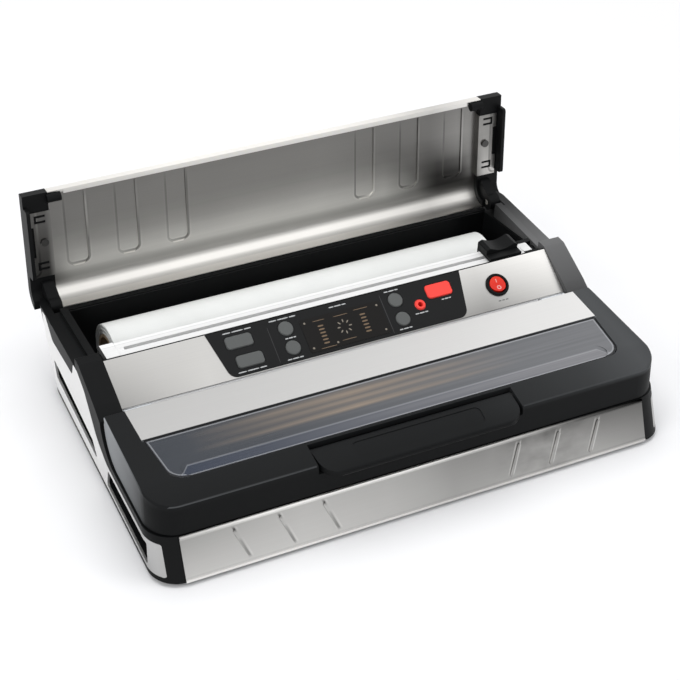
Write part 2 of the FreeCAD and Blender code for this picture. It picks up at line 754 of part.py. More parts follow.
trunnion_socket = trunnion(trunnion_radius + pin_room, trunnion_half + trunnion_end_gap)
parts["switch_bezel"] = on_panel(bezel.cut([switch_well, trunnion_socket]).removeSplitter())
rocker = rod(rocker_radius, V(*switch_place, rocker_root), UP, 3 * rocker_radius)
dish_axis = V(switch_x - rocker_radius - past, switch_up, rocker_dish_low + rocker_dish_radius)
rocker = rocker.cut(rod(rocker_dish_radius, dish_axis, ACROSS, far))
rocker.rotate(V(*switch_place, rocker_axis), ACROSS, rocker_rest)
parts["power_rocker"] = on_panel(joined(rocker, trunnion(trunnion_radius, trunnion_half)))

# Front lid: a moulded frame round a clear window, with a steel strip along the back


def lid_outline(z, inset, flat):
    front = lid_front_bottom + lid_front_lean * (z - lid_bottom) + inset
    rear = lid_hinge[0] + 6.0
    taper = (lid_half_front - lid_half_rear) / (lid_rear_top[0] - lid_front_bottom)
    front_half = lid_half_front - inset
    rear_half = lid_half_front - taper * (rear - lid_front_bottom) - inset
    corners = [(-front_half, front), (front_half, front), (rear_half, rear), (-rear_half, rear)]
    radii = [lid_corner - inset, lid_corner - inset, 0.0, 0.0]
    return rounded_wire(corners, radii, lambda x, y: V(x, y, z), flat)


def lid_block(z_from, z_to, inset=0.0, flat=False):
    return Part.makeLoft([lid_outline(z_from, inset, flat), lid_outline(z_to, inset, flat)], True, True)


def lid_top(y):
    return lid_bend[1] + lid_slope * (y - lid_bend[0])


def lid_layer(y_from, y_to, top, bottom, half):
    """Plate parallel to the top of the lid, between two depths below it."""
    return side_prism([(y_from, lid_top(y_from) - top), (y_to, lid_top(y_to) - top),
                       (y_to, lid_top(y_to) - bottom), (y_from, lid_top(y_from) - bottom)],
                      0.0, -half, half)


lid_ceiling = lid_rear_top[1] + past
lid_profile = [(0.0, lid_bottom), (lid_tip[0], lid_bottom), lid_tip, lid_rear_top, lid_bend, lid_nose,
               (0.0, lid_nose[1] - 3.2)]
lid_solid = lid_block(lid_bottom, lid_ceiling).common(
    side_prism(lid_profile, [0.0, 0.0, 0.8, 1.2, lid_bend_radius, 0.0, 0.0], -far, far))
lid_scoop = box(-far, far, scoop_centre[0] - lid_gap, far, 0.0, lid_tip[1] - seat_gap)
scoop_axis = V(-far, scoop_centre[0] - lid_gap, scoop_centre[1])
lid_scoop = lid_scoop.cut(rod(shoulder_radius - lid_gap, scoop_axis, ACROSS, 2 * far))
lid_solid = lid_solid.cut(lid_scoop)
top_edges = []
for edge in lid_solid.Edges:
    bound = edge.BoundBox
    on_top = bound.ZMin > lid_nose[1] - 1.5 and bound.YMax < lid_rear_top[0] - 0.4
    if on_top and (bound.XLength < lid_half_front or bound.YMax < lid_corner):
        top_edges.append(edge)
lid_solid = lid_solid.makeChamfer(lid_edge, top_edges)
lid_cavity = lid_block(lid_bottom - past, lid_ceiling, lid_wall, True).common(
    side_prism([(0.0, lid_bottom - past), (liner_back, lid_bottom - past),
                (liner_back, lid_top(liner_back) - lid_wall), (lid_bend[0], lid_bend[1] - lid_wall),
                (0.0, lid_nose[1] - lid_wall - 3.0)], 0.0, -far, far))
window_corners = [(-window_half + window_taper, window_front), (window_half - window_taper, window_front),
                  (window_half, window_rear), (-window_half, window_rear)]
window_hole = slab(window_corners, window_radii, liner_high, far)
strip_back = lid_rear_top[0] - strip_setback
strip_plate = lid_layer(window_rear + strip_gap, strip_back, 0.0, strip_thickness, strip_half)
lid_frame = lid_solid.cut([lid_cavity, window_hole, strip_plate])
parts["lid_strip"] = strip_plate.common(lid_solid)

# Window pane: edges broken all round, with a shallow sloping facet along the front
pane_layer = lid_layer(0.0, 2 * window_rear, window_recess, window_recess + window_thickness, far)
pane = window_hole.common(pane_layer)
pane_rim = []
for edge in pane.Edges:
    middle = edge.valueAt((edge.FirstParameter + edge.LastParameter) / 2)
    if abs(lid_top(middle.y) - window_recess - middle.z) < 0.01:
        pane_rim.append(edge)
pane = pane.makeChamfer(window_edge, pane_rim)
facet_front = facet_outline[0][1]
facet_back = facet_outline[2][1]
facet = side_prism([(facet_back, lid_top(facet_back) - window_recess),
                    (facet_front, lid_top(facet_front) - window_recess - facet_drop),
                    (facet_front, far), (facet_back, far)], 0.0, -far, far)
parts["lid_window"] = pane.cut(facet.common(slab(facet_outline, facet_radii, liner_high, far)))

# Knuckles of the lid
knuckle_top = lid_top(lid_rear_top[0]) - knuckle_skin
knuckle_corners = [(knuckle_root[0], lid_top(knuckle_root[0]) - knuckle_skin), knuckle_root,
                   (lid_hinge[0], lid_hinge[1] - knuckle_hook),
                   (lid_hinge[0] + past, lid_hinge[1] + knuckle_hook),
                   (knuckle_back, knuckle_top - 0.3), (knuckle_back, knuckle_top)]
knuckle_arm = side_prism(knuckle_corners, 0.0, knuckle_inner, knuckle_outer)
knuckle = rod(knuckle_radius, V(knuckle_inner, *lid_hinge), ACROSS, knuckle_outer - knuckle_inner)
knuckle = knuckle.fuse(knuckle_arm)
knuckle = knuckle.cut(rod(hinge_pin_radius + pin_room, V(0.0, *lid_hinge), ACROSS, far))
lid_frame = joined(lid_frame, both_sides(knuckle))

# Lid liner round the chamber, and the silicone strip that presses on the sealing bar
liner_relief = side_prism([(90.0, 30.0), (96.0, 37.0), (104.0, 40.0), (120.0, 40.0), (120.0, 30.0)], 0.0,
                          bed_end, far)
liner = lid_block(liner_low, liner_high, lid_wall, True).common(box(-far, far, 0.0, liner_back, 0.0, far))
liner = liner.cut(racetrack(chamber_half - past, chamber_front + past, chamber_back - past, 0.0, far))
parts["lid_liner"] = liner.cut(both_sides(liner_relief))
parts["press_strip"] = side_prism(press_strip_profile, 0.0, -press_strip_half, press_strip_half)

# Handle: a paddle sunk into the nose of the lid, turning on a steel rod


def nose_line(y, heights):
    at_rear, at_front = heights
    return at_front + (at_rear - at_front) * (y - handle_front) / (handle_rear - handle_front)


paddle_side = [(handle_rear, handle_top[0]), (handle_front, handle_top[1]), (handle_front, handle_under[1]),
               (handle_rear, handle_under[0])]
paddle = side_prism(paddle_side, handle_side_radii, -far, far)
paddle_outline = [(-handle_half, handle_rear), (-handle_half + handle_taper, handle_front),
                  (handle_half - handle_taper, handle_front), (handle_half, handle_rear)]
paddle = paddle.common(slab(paddle_outline, [1.0, handle_corner, handle_corner, 1.0], 0.0, far))
dish_floor = side_prism([(0.0, nose_line(0.0, handle_top) - dish_depth),
                         (handle_rear, nose_line(handle_rear, handle_top) - dish_depth),
                         (handle_rear, far), (0.0, far)], 0.0, -far, far)
paddle = paddle.cut(dish_floor.common(slab(dish_outline, dish_corner, 0.0, far)))
parts["handle"] = paddle.cut(rod(handle_pin_radius + pin_room, V(-far, *handle_axis), ACROSS, 2 * far))
notch_half = handle_half + handle_gap
notch_rear = handle_rear + handle_gap


def notch_block(margin, half):
    """Space under and behind the paddle, grown by a margin."""
    rear = notch_rear + margin
    return side_prism([(rear, far), (rear, handle_under[0] - handle_floor_gap - margin),
                       (0.0, nose_line(0.0, handle_under) - handle_floor_gap - margin), (0.0, far)],
                      0.0, -half, half)


notch_shell = notch_block(notch_wall, notch_half + notch_side).common(lid_solid).cut(window_hole)
handle_pin = rod(handle_pin_radius, V(-notch_half - handle_pin_bite, *handle_axis), ACROSS,
                 2 * (notch_half + handle_pin_bite))
lid_frame = joined(lid_frame, notch_shell).cut([notch_block(0.0, notch_half), handle_pin])
parts["handle_pin"] = handle_pin
parts["lid_frame"] = lid_frame.removeSplitter()

# Rear cover, drawn shut: a shallow steel pan with a rolled back edge, flanged ends and pressed ribs


def cover_prism(corners, radii, x_from, x_to):
    """Outline of the shut cover, given as (distance forward of the hinge, height over it)."""
    return side_prism([(cover_y - u, cover_z + h) for u, h in corners], radii, x_from, x_to)


def cover_block(u_from, u_to, h_from, h_to, x_from, x_to):
    return cover_prism([(u_from, h_from), (u_to, h_from), (u_to, h_to), (u_from, h_to)], 0.0, x_from, x_to)


def cover_skin(outer, thickness, x_from, x_to):
    """Flat top that rolls over the back edge in a quarter bend."""
    top = bend_centre[1] + outer
    back = bend_centre[0] - outer
    low = bend_centre[1] - past
    solid = cover_prism([(cover_length, low), (cover_length, top), (back, top), (back, low)],
                        [0.0, 0.0, outer, 0.0], x_from, x_to)
    hollow = cover_prism([(far, low - past), (far, top - thickness), (back + thickness, top - thickness),
                          (back + thickness, low - past)], [0.0, 0.0, outer - thickness, 0.0],
                         x_from - past, x_to + past)
    return solid.cut(hollow)


flange_low = cover_flange_height - sheet
pan = cover_skin(cover_bend_radius, sheet, -pan_half, pan_half)
lip = cover_block(cover_length - sheet, cover_length, flange_low, pan_top, -pan_half, pan_half)
lip_hem = cover_block(cover_length - hem_width, cover_length, flange_low, cover_flange_height,
                      -hem_half, hem_half)
end_wall = cover_block(*flange_span, flange_low, pan_top, pan_half - sheet, pan_half)
flange_plate = cover_block(*flange_span, flange_low, cover_flange_height, pan_half - sheet, flange_outer)
for along in flange_slots:
    y = cover_y - along
    opening = box(*flange_slot_span, y - flange_slot_half, y + flange_slot_half, 0.0, far)
    tongue = box(*flange_tongue_span, y - flange_tongue_half, y + flange_tongue_half, 0.0, far)
    flange_plate = flange_plate.cut(opening.cut(tongue))
screw_y = cover_y - cover_screw[1]
screw_clearance = rod(cover_screw_radius + 2 * screw_room, V(cover_screw[0], screw_y, 0.0), UP, far)
edge_notch = box(flange_notch_x, far, cover_y - flange_notch[1], cover_y - flange_notch[0], 0.0, far)
flange_plate = flange_plate.cut([screw_clearance, edge_notch])
end_piece = joined(end_wall, flange_plate)
pan = joined(pan, lip, lip_hem, end_piece, mirrored(end_piece))


def cover_rib(middle, inset, height_from, height_to):
    """Flat-topped rib along the cover, with round ends towards the hinge."""
    back, front = cover_rib_span
    half = cover_rib_half - inset
    corners = [(middle - half, cover_y - front + inset), (middle + half, cover_y - front + inset),
               (middle + half, cover_y - back - inset), (middle - half, cover_y - back - inset)]
    radii = [radius - inset for radius in cover_rib_radii]
    return both_sides(slab(corners, radii, height_from, height_to, inset > 0.0))


rib_top = cover_z + pan_top + cover_rib_height
for rib_middle in cover_rib_middles:
    pan = pan.fuse(cover_rib(rib_middle, 0.0, cover_z + pan_under, rib_top))
    pan = pan.cut(cover_rib(rib_middle, sheet, cover_z, rib_top - sheet))
pan = pan.removeSplitter()
parts["cover_sheet"] = on_open_cover(pan)

# End caps of the cover: curved top plate, outer skirt, front block, peg and the hinge ear
cap_top = cover_skin(cover_bend_radius + 0.5, cap_thickness, pan_half, cover_half)
post_room = cover_block(-far, 2 * post_clear, -far, post_clear, ear_outer, far)
post_swing = rod(post_clear, V(ear_outer, *cover_hinge), ACROSS, far)
cap_top = cap_top.cut([post_room, post_swing])
front_block = cover_block(flange_span[1] + sheet, cover_length, cap_block_low, pan_top, pan_half, cover_half)
skirt = cover_prism([(skirt_span[0], skirt_low), (skirt_span[1], skirt_low), (skirt_span[1], pan_under),
                     (skirt_span[0], pan_under)], [2.0, 2.0, 0.0, 0.0], cover_half - cap_skirt, cover_half)
ear = cover_prism(ear_corners, ear_radii, ear_inner, ear_outer)
ear = ear.cut(rod(hinge_pin_radius + pin_room, V(0.0, *cover_hinge), ACROSS, far))
peg_start = V(peg_inner, cover_y - peg_place[0], cover_z + peg_place[1])
peg = rod(peg_radius, peg_start, ACROSS, pan_half + past - peg_inner)
end_cap = joined(cap_top, front_block, skirt, ear, peg.cut(pan))
screw_foot = V(cover_screw[0], screw_y, cover_z + flange_low)
cover_shank = rod(cover_screw_radius, screw_foot, UP, cover_screw_length)
end_cap = end_cap.cut(cover_shank)
parts["cover_cap_right"] = on_open_cover(end_cap)
parts["cover_cap_left"] = mirrored(parts["cover_cap_right"])
cover_head = rod(cover_head_radius, screw_foot - UP * cover_head_height, UP, cover_head_height)
parts["cover_screws"] = both_sides(on_open_cover(joined(cover_shank, cover_head)))

# Film cutter: a slotted bar hinged at its right end
rail_profile = [(rail_front, rail_low), (rail_back, rail_low), (rail_back, rail_high),
                (rail_slot[1], rail_high), (rail_slot[0], rail_high - rail_step),
                (rail_front + 1.2, rail_high - rail_step),
                (rail_front, rail_high - 1.8)]
rail = side_prism(rail_profile, [0.0, 0.0, 0.8, 0.0, 0.0, 0.0, 0.0], -rail_half, rail_half)
rail = rail.cut(box(-rail_slot_half, rail_slot_half, *rail_slot, 0.0, far))
pivot = (rail_pivot_x, rail_low + tongue_thickness / 2)
tongue_front = cheek_front + 0.3
tongue_width = cheek_back - cheek_front - 0.6
tongue_top = rail_low + tongue_thickness
tongue = box(rail_half, rail_pivot_x, tongue_front, tongue_front + tongue_width, rail_low, tongue_top)
tongue_end = rod(tongue_thickness / 2, V(pivot[0], tongue_front, pivot[1]), BACK, tongue_width)
tongue_hole = rod(rail_pin_radius + pin_room, V(pivot[0], 0.0, pivot[1]), BACK, far)
parts["cutter_rail"] = joined(rail, tongue, tongue_end).cut(tongue_hole)
rail_pin = rod(rail_pin_radius, V(pivot[0], rail_front - 0.6, pivot[1]), BACK, rail_back - rail_front + 1.2)
bracket = box(*bracket_span, rail_front - past, rail_back + past, beam_top, bracket_top)
bracket = bracket.cut(box(0.0, far, cheek_front, cheek_back, beam_top + 0.4, far))
parts["rail_bracket"] = bracket.cut(rail_pin)
parts["rail_pin"] = rail_pin
latch_sides = (rail_front - latch_side, rail_back + latch_side)
latch = box(latch_end, -rail_half, *latch_sides, beam_top + 0.4, bracket_top)
end_edges = [edge for edge in latch.Edges if edge.BoundBox.XMax < latch_end + 0.1]
parts["rail_latch"] = latch.makeChamfer(latch_edge, end_edges)

# The blade carriage slides along the bar: a saddle with two lips, two horns and the blade below
slider_low = rail_high + slider_over
slider_from = slider_x - slider_half
slider_to = slider_x + slider_half
slider_front = rail_front - slider_lip
slider_back = rail_back + slider_tail
saddle = box(slider_from, slider_to, slider_front, slider_back, slider_low, slider_top)
front_lip = box(slider_from, slider_to, slider_front, rail_front - 0.4, lip_low[0], slider_top)
back_lip = box(slider_from, slider_to, rail_back + 0.5, slider_back, lip_low[1], slider_top)
grip_front = rail_front + grip_setback
horn_low, horn_high = horn_heights
grip_corners = [(slider_from, slider_top - past), (slider_to, slider_top - past),
                (slider_to, horn_high - 1.2), (slider_to - horn_width, horn_high), (slider_x, horn_low),
                (slider_from + horn_width, horn_high), (slider_from, horn_high - 1.2)]
grip_outline = rounded_wire(grip_corners, grip_radii, lambda x, z: V(x, grip_front, z))
grip = Part.Face(grip_outline).extrude(V(0, slider_back - grip_front, 0))
parts["cutter_slider"] = joined(saddle, front_lip, back_lip, grip)
blade_outline = rounded_wire([(slider_x - blade_half, slider_low), (slider_x, blade_tip),
                              (slider_x + blade_half, slider_low)], 0.0,
                             lambda x, z: V(x, sum(rail_slot) / 2 - blade_thickness / 2, z))
parts["cutter_blade"] = Part.Face(blade_outline).extrude(V(0, blade_thickness, 0))

# Pump in its cradle in the base, with the hose from the chamber
motor = rod(motor_radius, V(motor_start, *motor_axis), ACROSS, motor_length)
shaft = rod(shaft_boss[0], V(motor_start - shaft_boss[1], *motor_axis), ACROSS, shaft_boss[1])
parts["pump_motor"] = joined(motor, shaft)
cradle = side_prism(cradle_corners, 0.0, *cradle_span).cut(motor)
base_tub = base_tub.fuse(cradle)
pump_start = motor_start + motor_length
nozzle_x = pump_start + pump_length / 2
pump_front = pump_corners[0][0]
nozzle = rod(nozzle_radius, V(nozzle_x, nozzle_front, nozzle_height), BACK, pump_front - nozzle_front)
pump_block = side_prism(pump_corners, pump_corner, pump_start, pump_start + pump_length)
parts["pump_head"] = joined(pump_block, nozzle)
hose_start = V(nozzle_x, chamber_back + chamber_wall, nozzle_height)
hose_length = pump_front - hose_start.y
hose = rod(nozzle_radius + hose_wall, hose_start, BACK, hose_length)
parts["vacuum_hose"] = hose.cut(rod(nozzle_radius, hose_start, BACK, hose_length))

# Release valve with its hose up to the port, transformer and control board
port_x, port_up = port_place
valve_outline = [(port_x - valve_half, valve_span[0]), (port_x + valve_half, valve_span[0]),
                 (port_x + valve_half, valve_span[1]), (port_x - valve_half, valve_span[1])]
valve_body = slab(valve_outline, valve_corner, floor_thickness, valve_top)
coil_start = V(port_x - valve_half - coil_length, sum(valve_span) / 2, coil_height)
coil = rod(coil_radius, coil_start, ACROSS, coil_length)
parts["release_valve"] = joined(valve_body, coil)
port_hose_start = V(port_x, port_up, port_root - port_hose_length)
port_hose = rod(port_hose_bore + hose_wall, port_hose_start, UP, port_hose_length)
port_hose = on_panel(port_hose.cut(rod(port_hose_bore, port_hose_start, UP, port_hose_length)))
parts["port_hose"] = port_hose.common(box(0.0, far, 0.0, far, valve_top, far))
winding = slab(winding_outline, winding_corner, *winding_span)
parts["transformer"] = joined(box(*core_stack_span, floor_thickness, core_stack_top), winding)
board = slab(rectangle(board_half, *board_span), 0.0, -board_depth - board_thickness, -board_depth)
chip_middle = sum(board_span) / 2
chip = box(-chip_half[0], chip_half[0], chip_middle - chip_half[1], chip_middle + chip_half[1],
           -board_depth - board_thickness - chip_height, -board_depth - board_thickness)
hose_hole = rod(port_hose_bore + 2 * hose_wall, V(port_x, port_up, -far), UP, far)
parts["control_board"] = on_panel(joined(board, chip).cut(hose_hole))

# Cord gland low in the rear wall, square to its slope
rear_normal = V(0.0, 1.0, -rear_rake)
rear_normal.normalize()
gland_face = V(gland_x, rear_depth + rear_rake * gland_height, gland_height)
gland_start = gland_face - rear_normal * (wall + gland_inside)
gland = rod(gland_radius, gland_start, rear_normal, wall + gland_inside)
gland = gland.fuse(rod(gland_flange, gland_face, rear_normal, gland_flange_thickness))
parts["cord_gland"] = gland.cut(rod(gland_bore, gland_start - rear_normal, rear_normal, far)).removeSplitter()
gland_seat = rod(gland_radius, gland_start - rear_normal * past, rear_normal, wall + gland_inside + 2 * past)
parts["rear_wall"] = rear_wall.cut([gland_seat, parts["cord_gland"], trough_block]).removeSplitter()
parts["base_tub"] = base_tub.cut(trough_block).removeSplitter()

os.makedirs("parts", exist_ok=True)
for name, shape in parts.items():
    placed = shape.copy()
    placed.translate(V(0.0, -origin_depth, foot_height))
    placed.exportStep("parts/" + name + ".step")
    print(name, len(shape.Solids), round(shape.Volume / 1000.0, 2), shape.isValid())
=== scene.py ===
# %% [markdown]
# # A countertop vacuum sealer
# The solids of this machine arrive finished, as one object for each part.
# This lesson gives them their finishes, adds what is printed on the panel
# and sets up a plain studio. Nothing here moves a solid: every piece is made
# in place, in metres, with the machine's front towards -Y.

# %% Load the solids
import bpy
import math
from mathutils import Matrix, Vector


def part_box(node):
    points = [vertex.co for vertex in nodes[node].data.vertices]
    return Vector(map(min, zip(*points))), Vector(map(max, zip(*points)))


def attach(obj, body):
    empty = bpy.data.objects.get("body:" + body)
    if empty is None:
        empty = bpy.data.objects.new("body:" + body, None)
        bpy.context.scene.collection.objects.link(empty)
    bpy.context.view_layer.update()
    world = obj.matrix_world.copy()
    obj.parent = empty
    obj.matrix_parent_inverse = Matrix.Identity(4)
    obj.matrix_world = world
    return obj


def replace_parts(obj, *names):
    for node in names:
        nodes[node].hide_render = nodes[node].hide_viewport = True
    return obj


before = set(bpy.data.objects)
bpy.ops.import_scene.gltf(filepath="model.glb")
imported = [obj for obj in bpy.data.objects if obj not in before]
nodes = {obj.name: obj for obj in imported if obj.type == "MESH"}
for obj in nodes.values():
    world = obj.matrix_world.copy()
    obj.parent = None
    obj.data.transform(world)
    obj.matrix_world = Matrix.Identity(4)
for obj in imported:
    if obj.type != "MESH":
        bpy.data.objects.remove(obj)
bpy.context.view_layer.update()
scene = bpy.context.scene

# %% [markdown]
# ## Camera
# The photograph was taken with a long lens from the front left, a little
# rolled. A camera can be placed by hand until the edges line up, but here its
# place was worked out from the straight edges of the machine: where it
# stands, which way it looks, how far it leans over, and the focal length.

# %% The camera
image_width = 680
focal_pixels = 1783.4
sensor_width = 36.0
camera_place = Vector((-0.476057, -0.856864, 0.805872))
camera_heading = math.radians(28.836)
camera_dip = math.radians(37.596)
camera_roll = math.radians(3.772)

ahead = Vector((math.sin(camera_heading) * math.cos(camera_dip),
                math.cos(camera_heading) * math.cos(camera_dip), -math.sin(camera_dip)))
level_right = Vector((math.cos(camera_heading), -math.sin(camera_heading), 0.0))
level_up = level_right.cross(ahead)
right = level_right * math.cos(camera_roll) + level_up * math.sin(camera_roll)
up = right.cross(ahead)
camera_data = bpy.data.cameras.new("studio_camera")
camera_data.sensor_width = sensor_width
camera_data.lens = focal_pixels * sensor_width / image_width
camera = bpy.data.objects.new("studio_camera", camera_data)
camera_turn = Matrix((right, up, -ahead)).transposed().to_4x4()
camera.matrix_world = Matrix.Translation(camera_place) @ camera_turn
scene.collection.objects.link(camera)
scene.camera = camera
print("lens", round(camera_data.lens, 2), "mm")

# %% [markdown]
# ## Shader maths in plain Python
# A material is a tree of nodes, and arithmetic in a tree takes one Math node
# for each sign. Adding those by hand hides the formula. So a small class
# wraps a socket: an expression such as 1 - mask * 0.3 then adds the Math
# nodes by itself, and one method makes every other kind of node.

# %% A socket that does arithmetic


class Wire:
    """A socket in a node tree, with the arithmetic signs that the finishes use."""

    def __init__(self, tree, socket=None):
        self.tree = tree
        self.socket = socket

    def add(self, kind, settings, sockets, out=0):
        """Adds a node: its settings first, then the values or links of its sockets."""
        node = self.tree.nodes.new(kind)
        for name, value in settings.items():
            if name == "stops":
                elements = node.color_ramp.elements
                while len(elements) < len(value):
                    elements.new(0.5)
                for stop, (place, colour) in zip(elements, value):
                    stop.position = place
                    stop.color = colour
            else:
                setattr(node, name, value)
        for name, value in sockets.items():
            if isinstance(value, Wire):
                self.tree.links.new(value.socket, node.inputs[name])
            else:
                node.inputs[name].default_value = value
        return Wire(self.tree, node.outputs[out])

    def sum(self, sign, first, second):
        return self.add("ShaderNodeMath", {"operation": sign}, {0: first, 1: second})

    def __add__(self, other):
        return self.sum("ADD", self, other)

    __radd__ = __add__

    def __sub__(self, other):
        return self.sum("SUBTRACT", self, other)

    def __rsub__(self, other):
        return self.sum("SUBTRACT", other, self)

    def __mul__(self, other):
        return self.sum("MULTIPLY", self, other)

    __rmul__ = __mul__

    def __pow__(self, other):
        return self.sum("POWER", self, other)

    def __abs__(self):
        return self.sum("ABSOLUTE", self, 0.0)

    def larger(self, other):
        return self.sum("MAXIMUM", self, other)

    def smaller(self, other):
        return self.sum("MINIMUM", self, other)

    def __gt__(self, other):
        return self.sum("GREATER_THAN", self, other)

    def __lt__(self, other):
        return self.sum("LESS_THAN", self, other)


print("Wire knows + - * ** abs > <")

# %% [markdown]
# ## How a finish starts
# Every finish is a Principled shader that reads Object coordinates. The
# solids all sit at the origin, so Object coordinates are metres on the
# machine, and a grain of half a millimetre is half a millimetre everywhere.

# %% Helpers for finishes


def start_finish(name, **constants):
    """A material with one Principled shader: returns it, the shader and its Object coordinates."""
    material = bpy.data.materials.new(name)
    material.use_nodes = True
    shader = material.node_tree.nodes["Principled BSDF"]
    for socket, value in constants.items():
        shader.inputs[socket.replace("_", " ")].default_value = value
    place = Wire(material.node_tree).add("ShaderNodeTexCoord", {}, {}, "Object")
    return material, shader, place


def feed(shader, **wires):
    for socket, wire in wires.items():
        wire.tree.links.new(wire.socket, shader.inputs[socket.replace("_", " ")])


def noise(place, scale, detail=3.0, roughness=0.55):
    return place.add("ShaderNodeTexNoise", {},
                     {"Vector": place, "Scale": scale, "Detail": detail, "Roughness": roughness})


def tint(share, first, second):
    """The first colour where share is 0, the second where it is 1. Either may be a Wire."""
    first, second = (c if isinstance(c, Wire) else (*c, 1.0) for c in (first, second))
    return share.add("ShaderNodeMix", {"data_type": "RGBA"}, {0: share, 6: first, 7: second}, 2)


def bump(height, strength, distance):
    return height.add("ShaderNodeBump", {}, {"Height": height, "Strength": strength, "Distance": distance})


def dress(material, *names):
    """Gives a finish to solids, in place of the one that they came with."""
    for name in names:
        mesh = nodes[name].data
        mesh.materials.clear()
        mesh.materials.append(material)
    print(material.name, "on", len(names), "solids")


print("helpers for finishes ready")

# %% [markdown]
# ## Moulded black plastic
# The lid, the casing and the cover's end caps are black ABS with a fine
# spark-eroded grain. Seen from a step away it is a satin black that catches a
# soft grey sheen. A fine noise gives the grain as bump, and a slow noise makes
# the sheen a little uneven, as handling does. Black shows every reflection of
# a white room, so the specular level is kept low.

# %% Black casing
deep_black = (0.003, 0.0033, 0.0035)
spark_grain = 2600.0
spark_depth = 0.00004
grain_strength = 0.35
handling_scale = 14.0


def moulded(name, dark, light, rough, grain=spark_grain, depth=spark_depth, specular=0.5):
    """A moulded finish, uneven between a dark and a light colour."""
    material, shader, place = start_finish(name, Specular_IOR_Level=specular)
    fine = noise(place, grain, 2.0)
    slow = noise(place, handling_scale)
    feed(shader, Base_Color=tint(slow, dark, light), Roughness=rough + slow * 0.14 - 0.07 + fine * 0.05,
         Normal=bump(fine, grain_strength, depth))
    return material


casing_black = moulded("casing_black", deep_black, (0.006, 0.0063, 0.0066), 0.46, specular=0.12)
dress(casing_black, "base_tub", "side_cheek_left", "rear_wall", "cover_cap_left", "cover_cap_right",
      "rail_bracket", "cutter_slider", "switch_bezel", "roll_trough")
liner_black = moulded("liner_black", (0.014, 0.015, 0.016), (0.022, 0.023, 0.025), 0.5, specular=0.25)
dress(liner_black, "deck_plate", "chamber_tub", "lid_liner", "drip_tray", "pump_head", "release_valve")

# %% [markdown]
# ## Sheen on the black
# The right end of the lid, its edges and the right hinge post catch a grey
# sheen, as black plastic does beside a window. The studio is white all round
# and gives no such sheen, so it is part of the colour here. A ramp runs along
# the machine or up it, and comparisons pick out single places.

# %% A black with a sheen of its own


def axis(place, letter):
    return place.add("ShaderNodeSeparateXYZ", {}, {"Vector": place}, letter)


def ramp(amount, *stops):
    """A number that passes through the values of the stops as amount goes from 0 to 1.

    A ramp node holds no negative values, so they are lifted for it and lowered again after it."""
    lowest = min(0.0, min(value for where, value in stops))
    greys = [(where, (*[value - lowest] * 3, 1.0)) for where, value in stops]
    passed = amount.add("ShaderNodeValToRGB", {"stops": greys}, {"Fac": amount})
    return passed + lowest if lowest else passed


def span(amount, low, high):
    """How far amount has come from low, where it gives 0, to high, where it gives 1."""
    return (amount - low) * (1.0 / (high - low))


def within(amount, low, high):
    """1 between low and high, 0 elsewhere."""
    return (amount > low) * (amount < high)


def in_box(place, low, high):
    """1 between two corners of a box, 0 outside it."""
    x, y, z = (within(axis(place, letter), near, far) for letter, near, far in zip("XYZ", low, high))
    return x * y * z


def sheen_black(name, sheen, specular, rough, light=(1.0, 1.0, 1.0)):
    """The casing's black. sheen turns Object coordinates into the brightness that is added to it."""
    material, shader, place = start_finish(name, Specular_IOR_Level=specular)
    fine = noise(place, spark_grain, 2.0)
    slow = noise(place, handling_scale)
    feed(shader, Base_Color=tint(sheen(place) + slow * 0.003, deep_black, light),
         Roughness=rough + slow * 0.14 + fine * 0.05, Normal=bump(fine, grain_strength, spark_depth))
    return material


print("a ramp holds up to 32 stops")

# %% [markdown]
# The lid narrows to the back, so its flanks, which carry a painted sheen, are found from its half width.
# The edge of its nose has a painted highlight on both sides of the handle, and a band behind the window a
# little painted sheen. The knuckles at its back are silver, like the strip in front of them.

# %% The lid and its handle
lid_reach = 0.1923
lid_high = 0.1
lid_front = -0.11545
lid_front_half = 0.1894
lid_narrowing = 0.039
flank_skin = 0.0005
flank_front, flank_back = -0.125, 0.0
nose_back = -0.1105
nose_foot, nose_top = 0.05, 0.055
handle_half = 0.0768
knuckle_front = -0.0204
silver_level = 0.65
rim_low, rim_high = (-0.1718, -0.0535, 0.053), (0.1718, -0.0480, lid_high)


def lid_sheen(place):
    x, y, z = (axis(place, letter) for letter in "XYZ")
    along = span(x, -lid_reach, lid_reach)
    high = span(z, 0.0, lid_high)
    top = ramp(along, (0.0, 0.002), (0.6, 0.002), (0.75, 0.014), (0.84, 0.024), (0.96, 0.054), (1.0, 0.042))
    top = top * ramp(high, (0.50, 0.05), (0.535, 1.0)) + ramp(high, (0.50, 0.0), (0.57, 0.004))
    lid_half = lid_front_half - (y - lid_front) * lid_narrowing
    # Painted sheen on the flanks, and a painted highlight on the nose edge.
    flank = ramp(span(y, flank_front, flank_back), (0.20, 0.0), (0.38, 0.10), (0.8, 0.27))
    flank = flank * (abs(x) > lid_half - flank_skin)
    nose = ramp(span(z, nose_foot, nose_top), (0.56, 0.0), (0.62, 0.07), (0.68, 0.07), (0.74, 0.0))
    nose = nose * ramp(along, (0.0, 0.9), (0.5, 0.5), (0.9, 0.2)) * (y < nose_back) * (abs(x) > handle_half)
    knuckles = (y > knuckle_front) * silver_level
    rim = in_box(place, rim_low, rim_high) * 0.035
    return top + flank + nose + knuckles + rim


dress(sheen_black("lid_black", lid_sheen, 0.09, 0.40, (0.97, 1.01, 1.04)), "lid_frame", "handle")

# %% [markdown]
# The housing carries a silver lip below the fascia and a pale strip in the
# groove of the rail. The right flank has a soft sheen where its hinge post
# turns to the light.

# %% The housing and the right flank
groove_low, groove_high = (-0.1522, 0.0270, 0.0560), (0.1522, 0.0301, 0.0665)
lip_low, lip_high = (-0.1708, -0.0146, 0.0480), (0.1708, -0.0118, 0.0546)
body_front, body_back = -0.125, 0.125


def housing_sheen(place):
    return in_box(place, groove_low, groove_high) * 0.85 + in_box(place, lip_low, lip_high) * silver_level


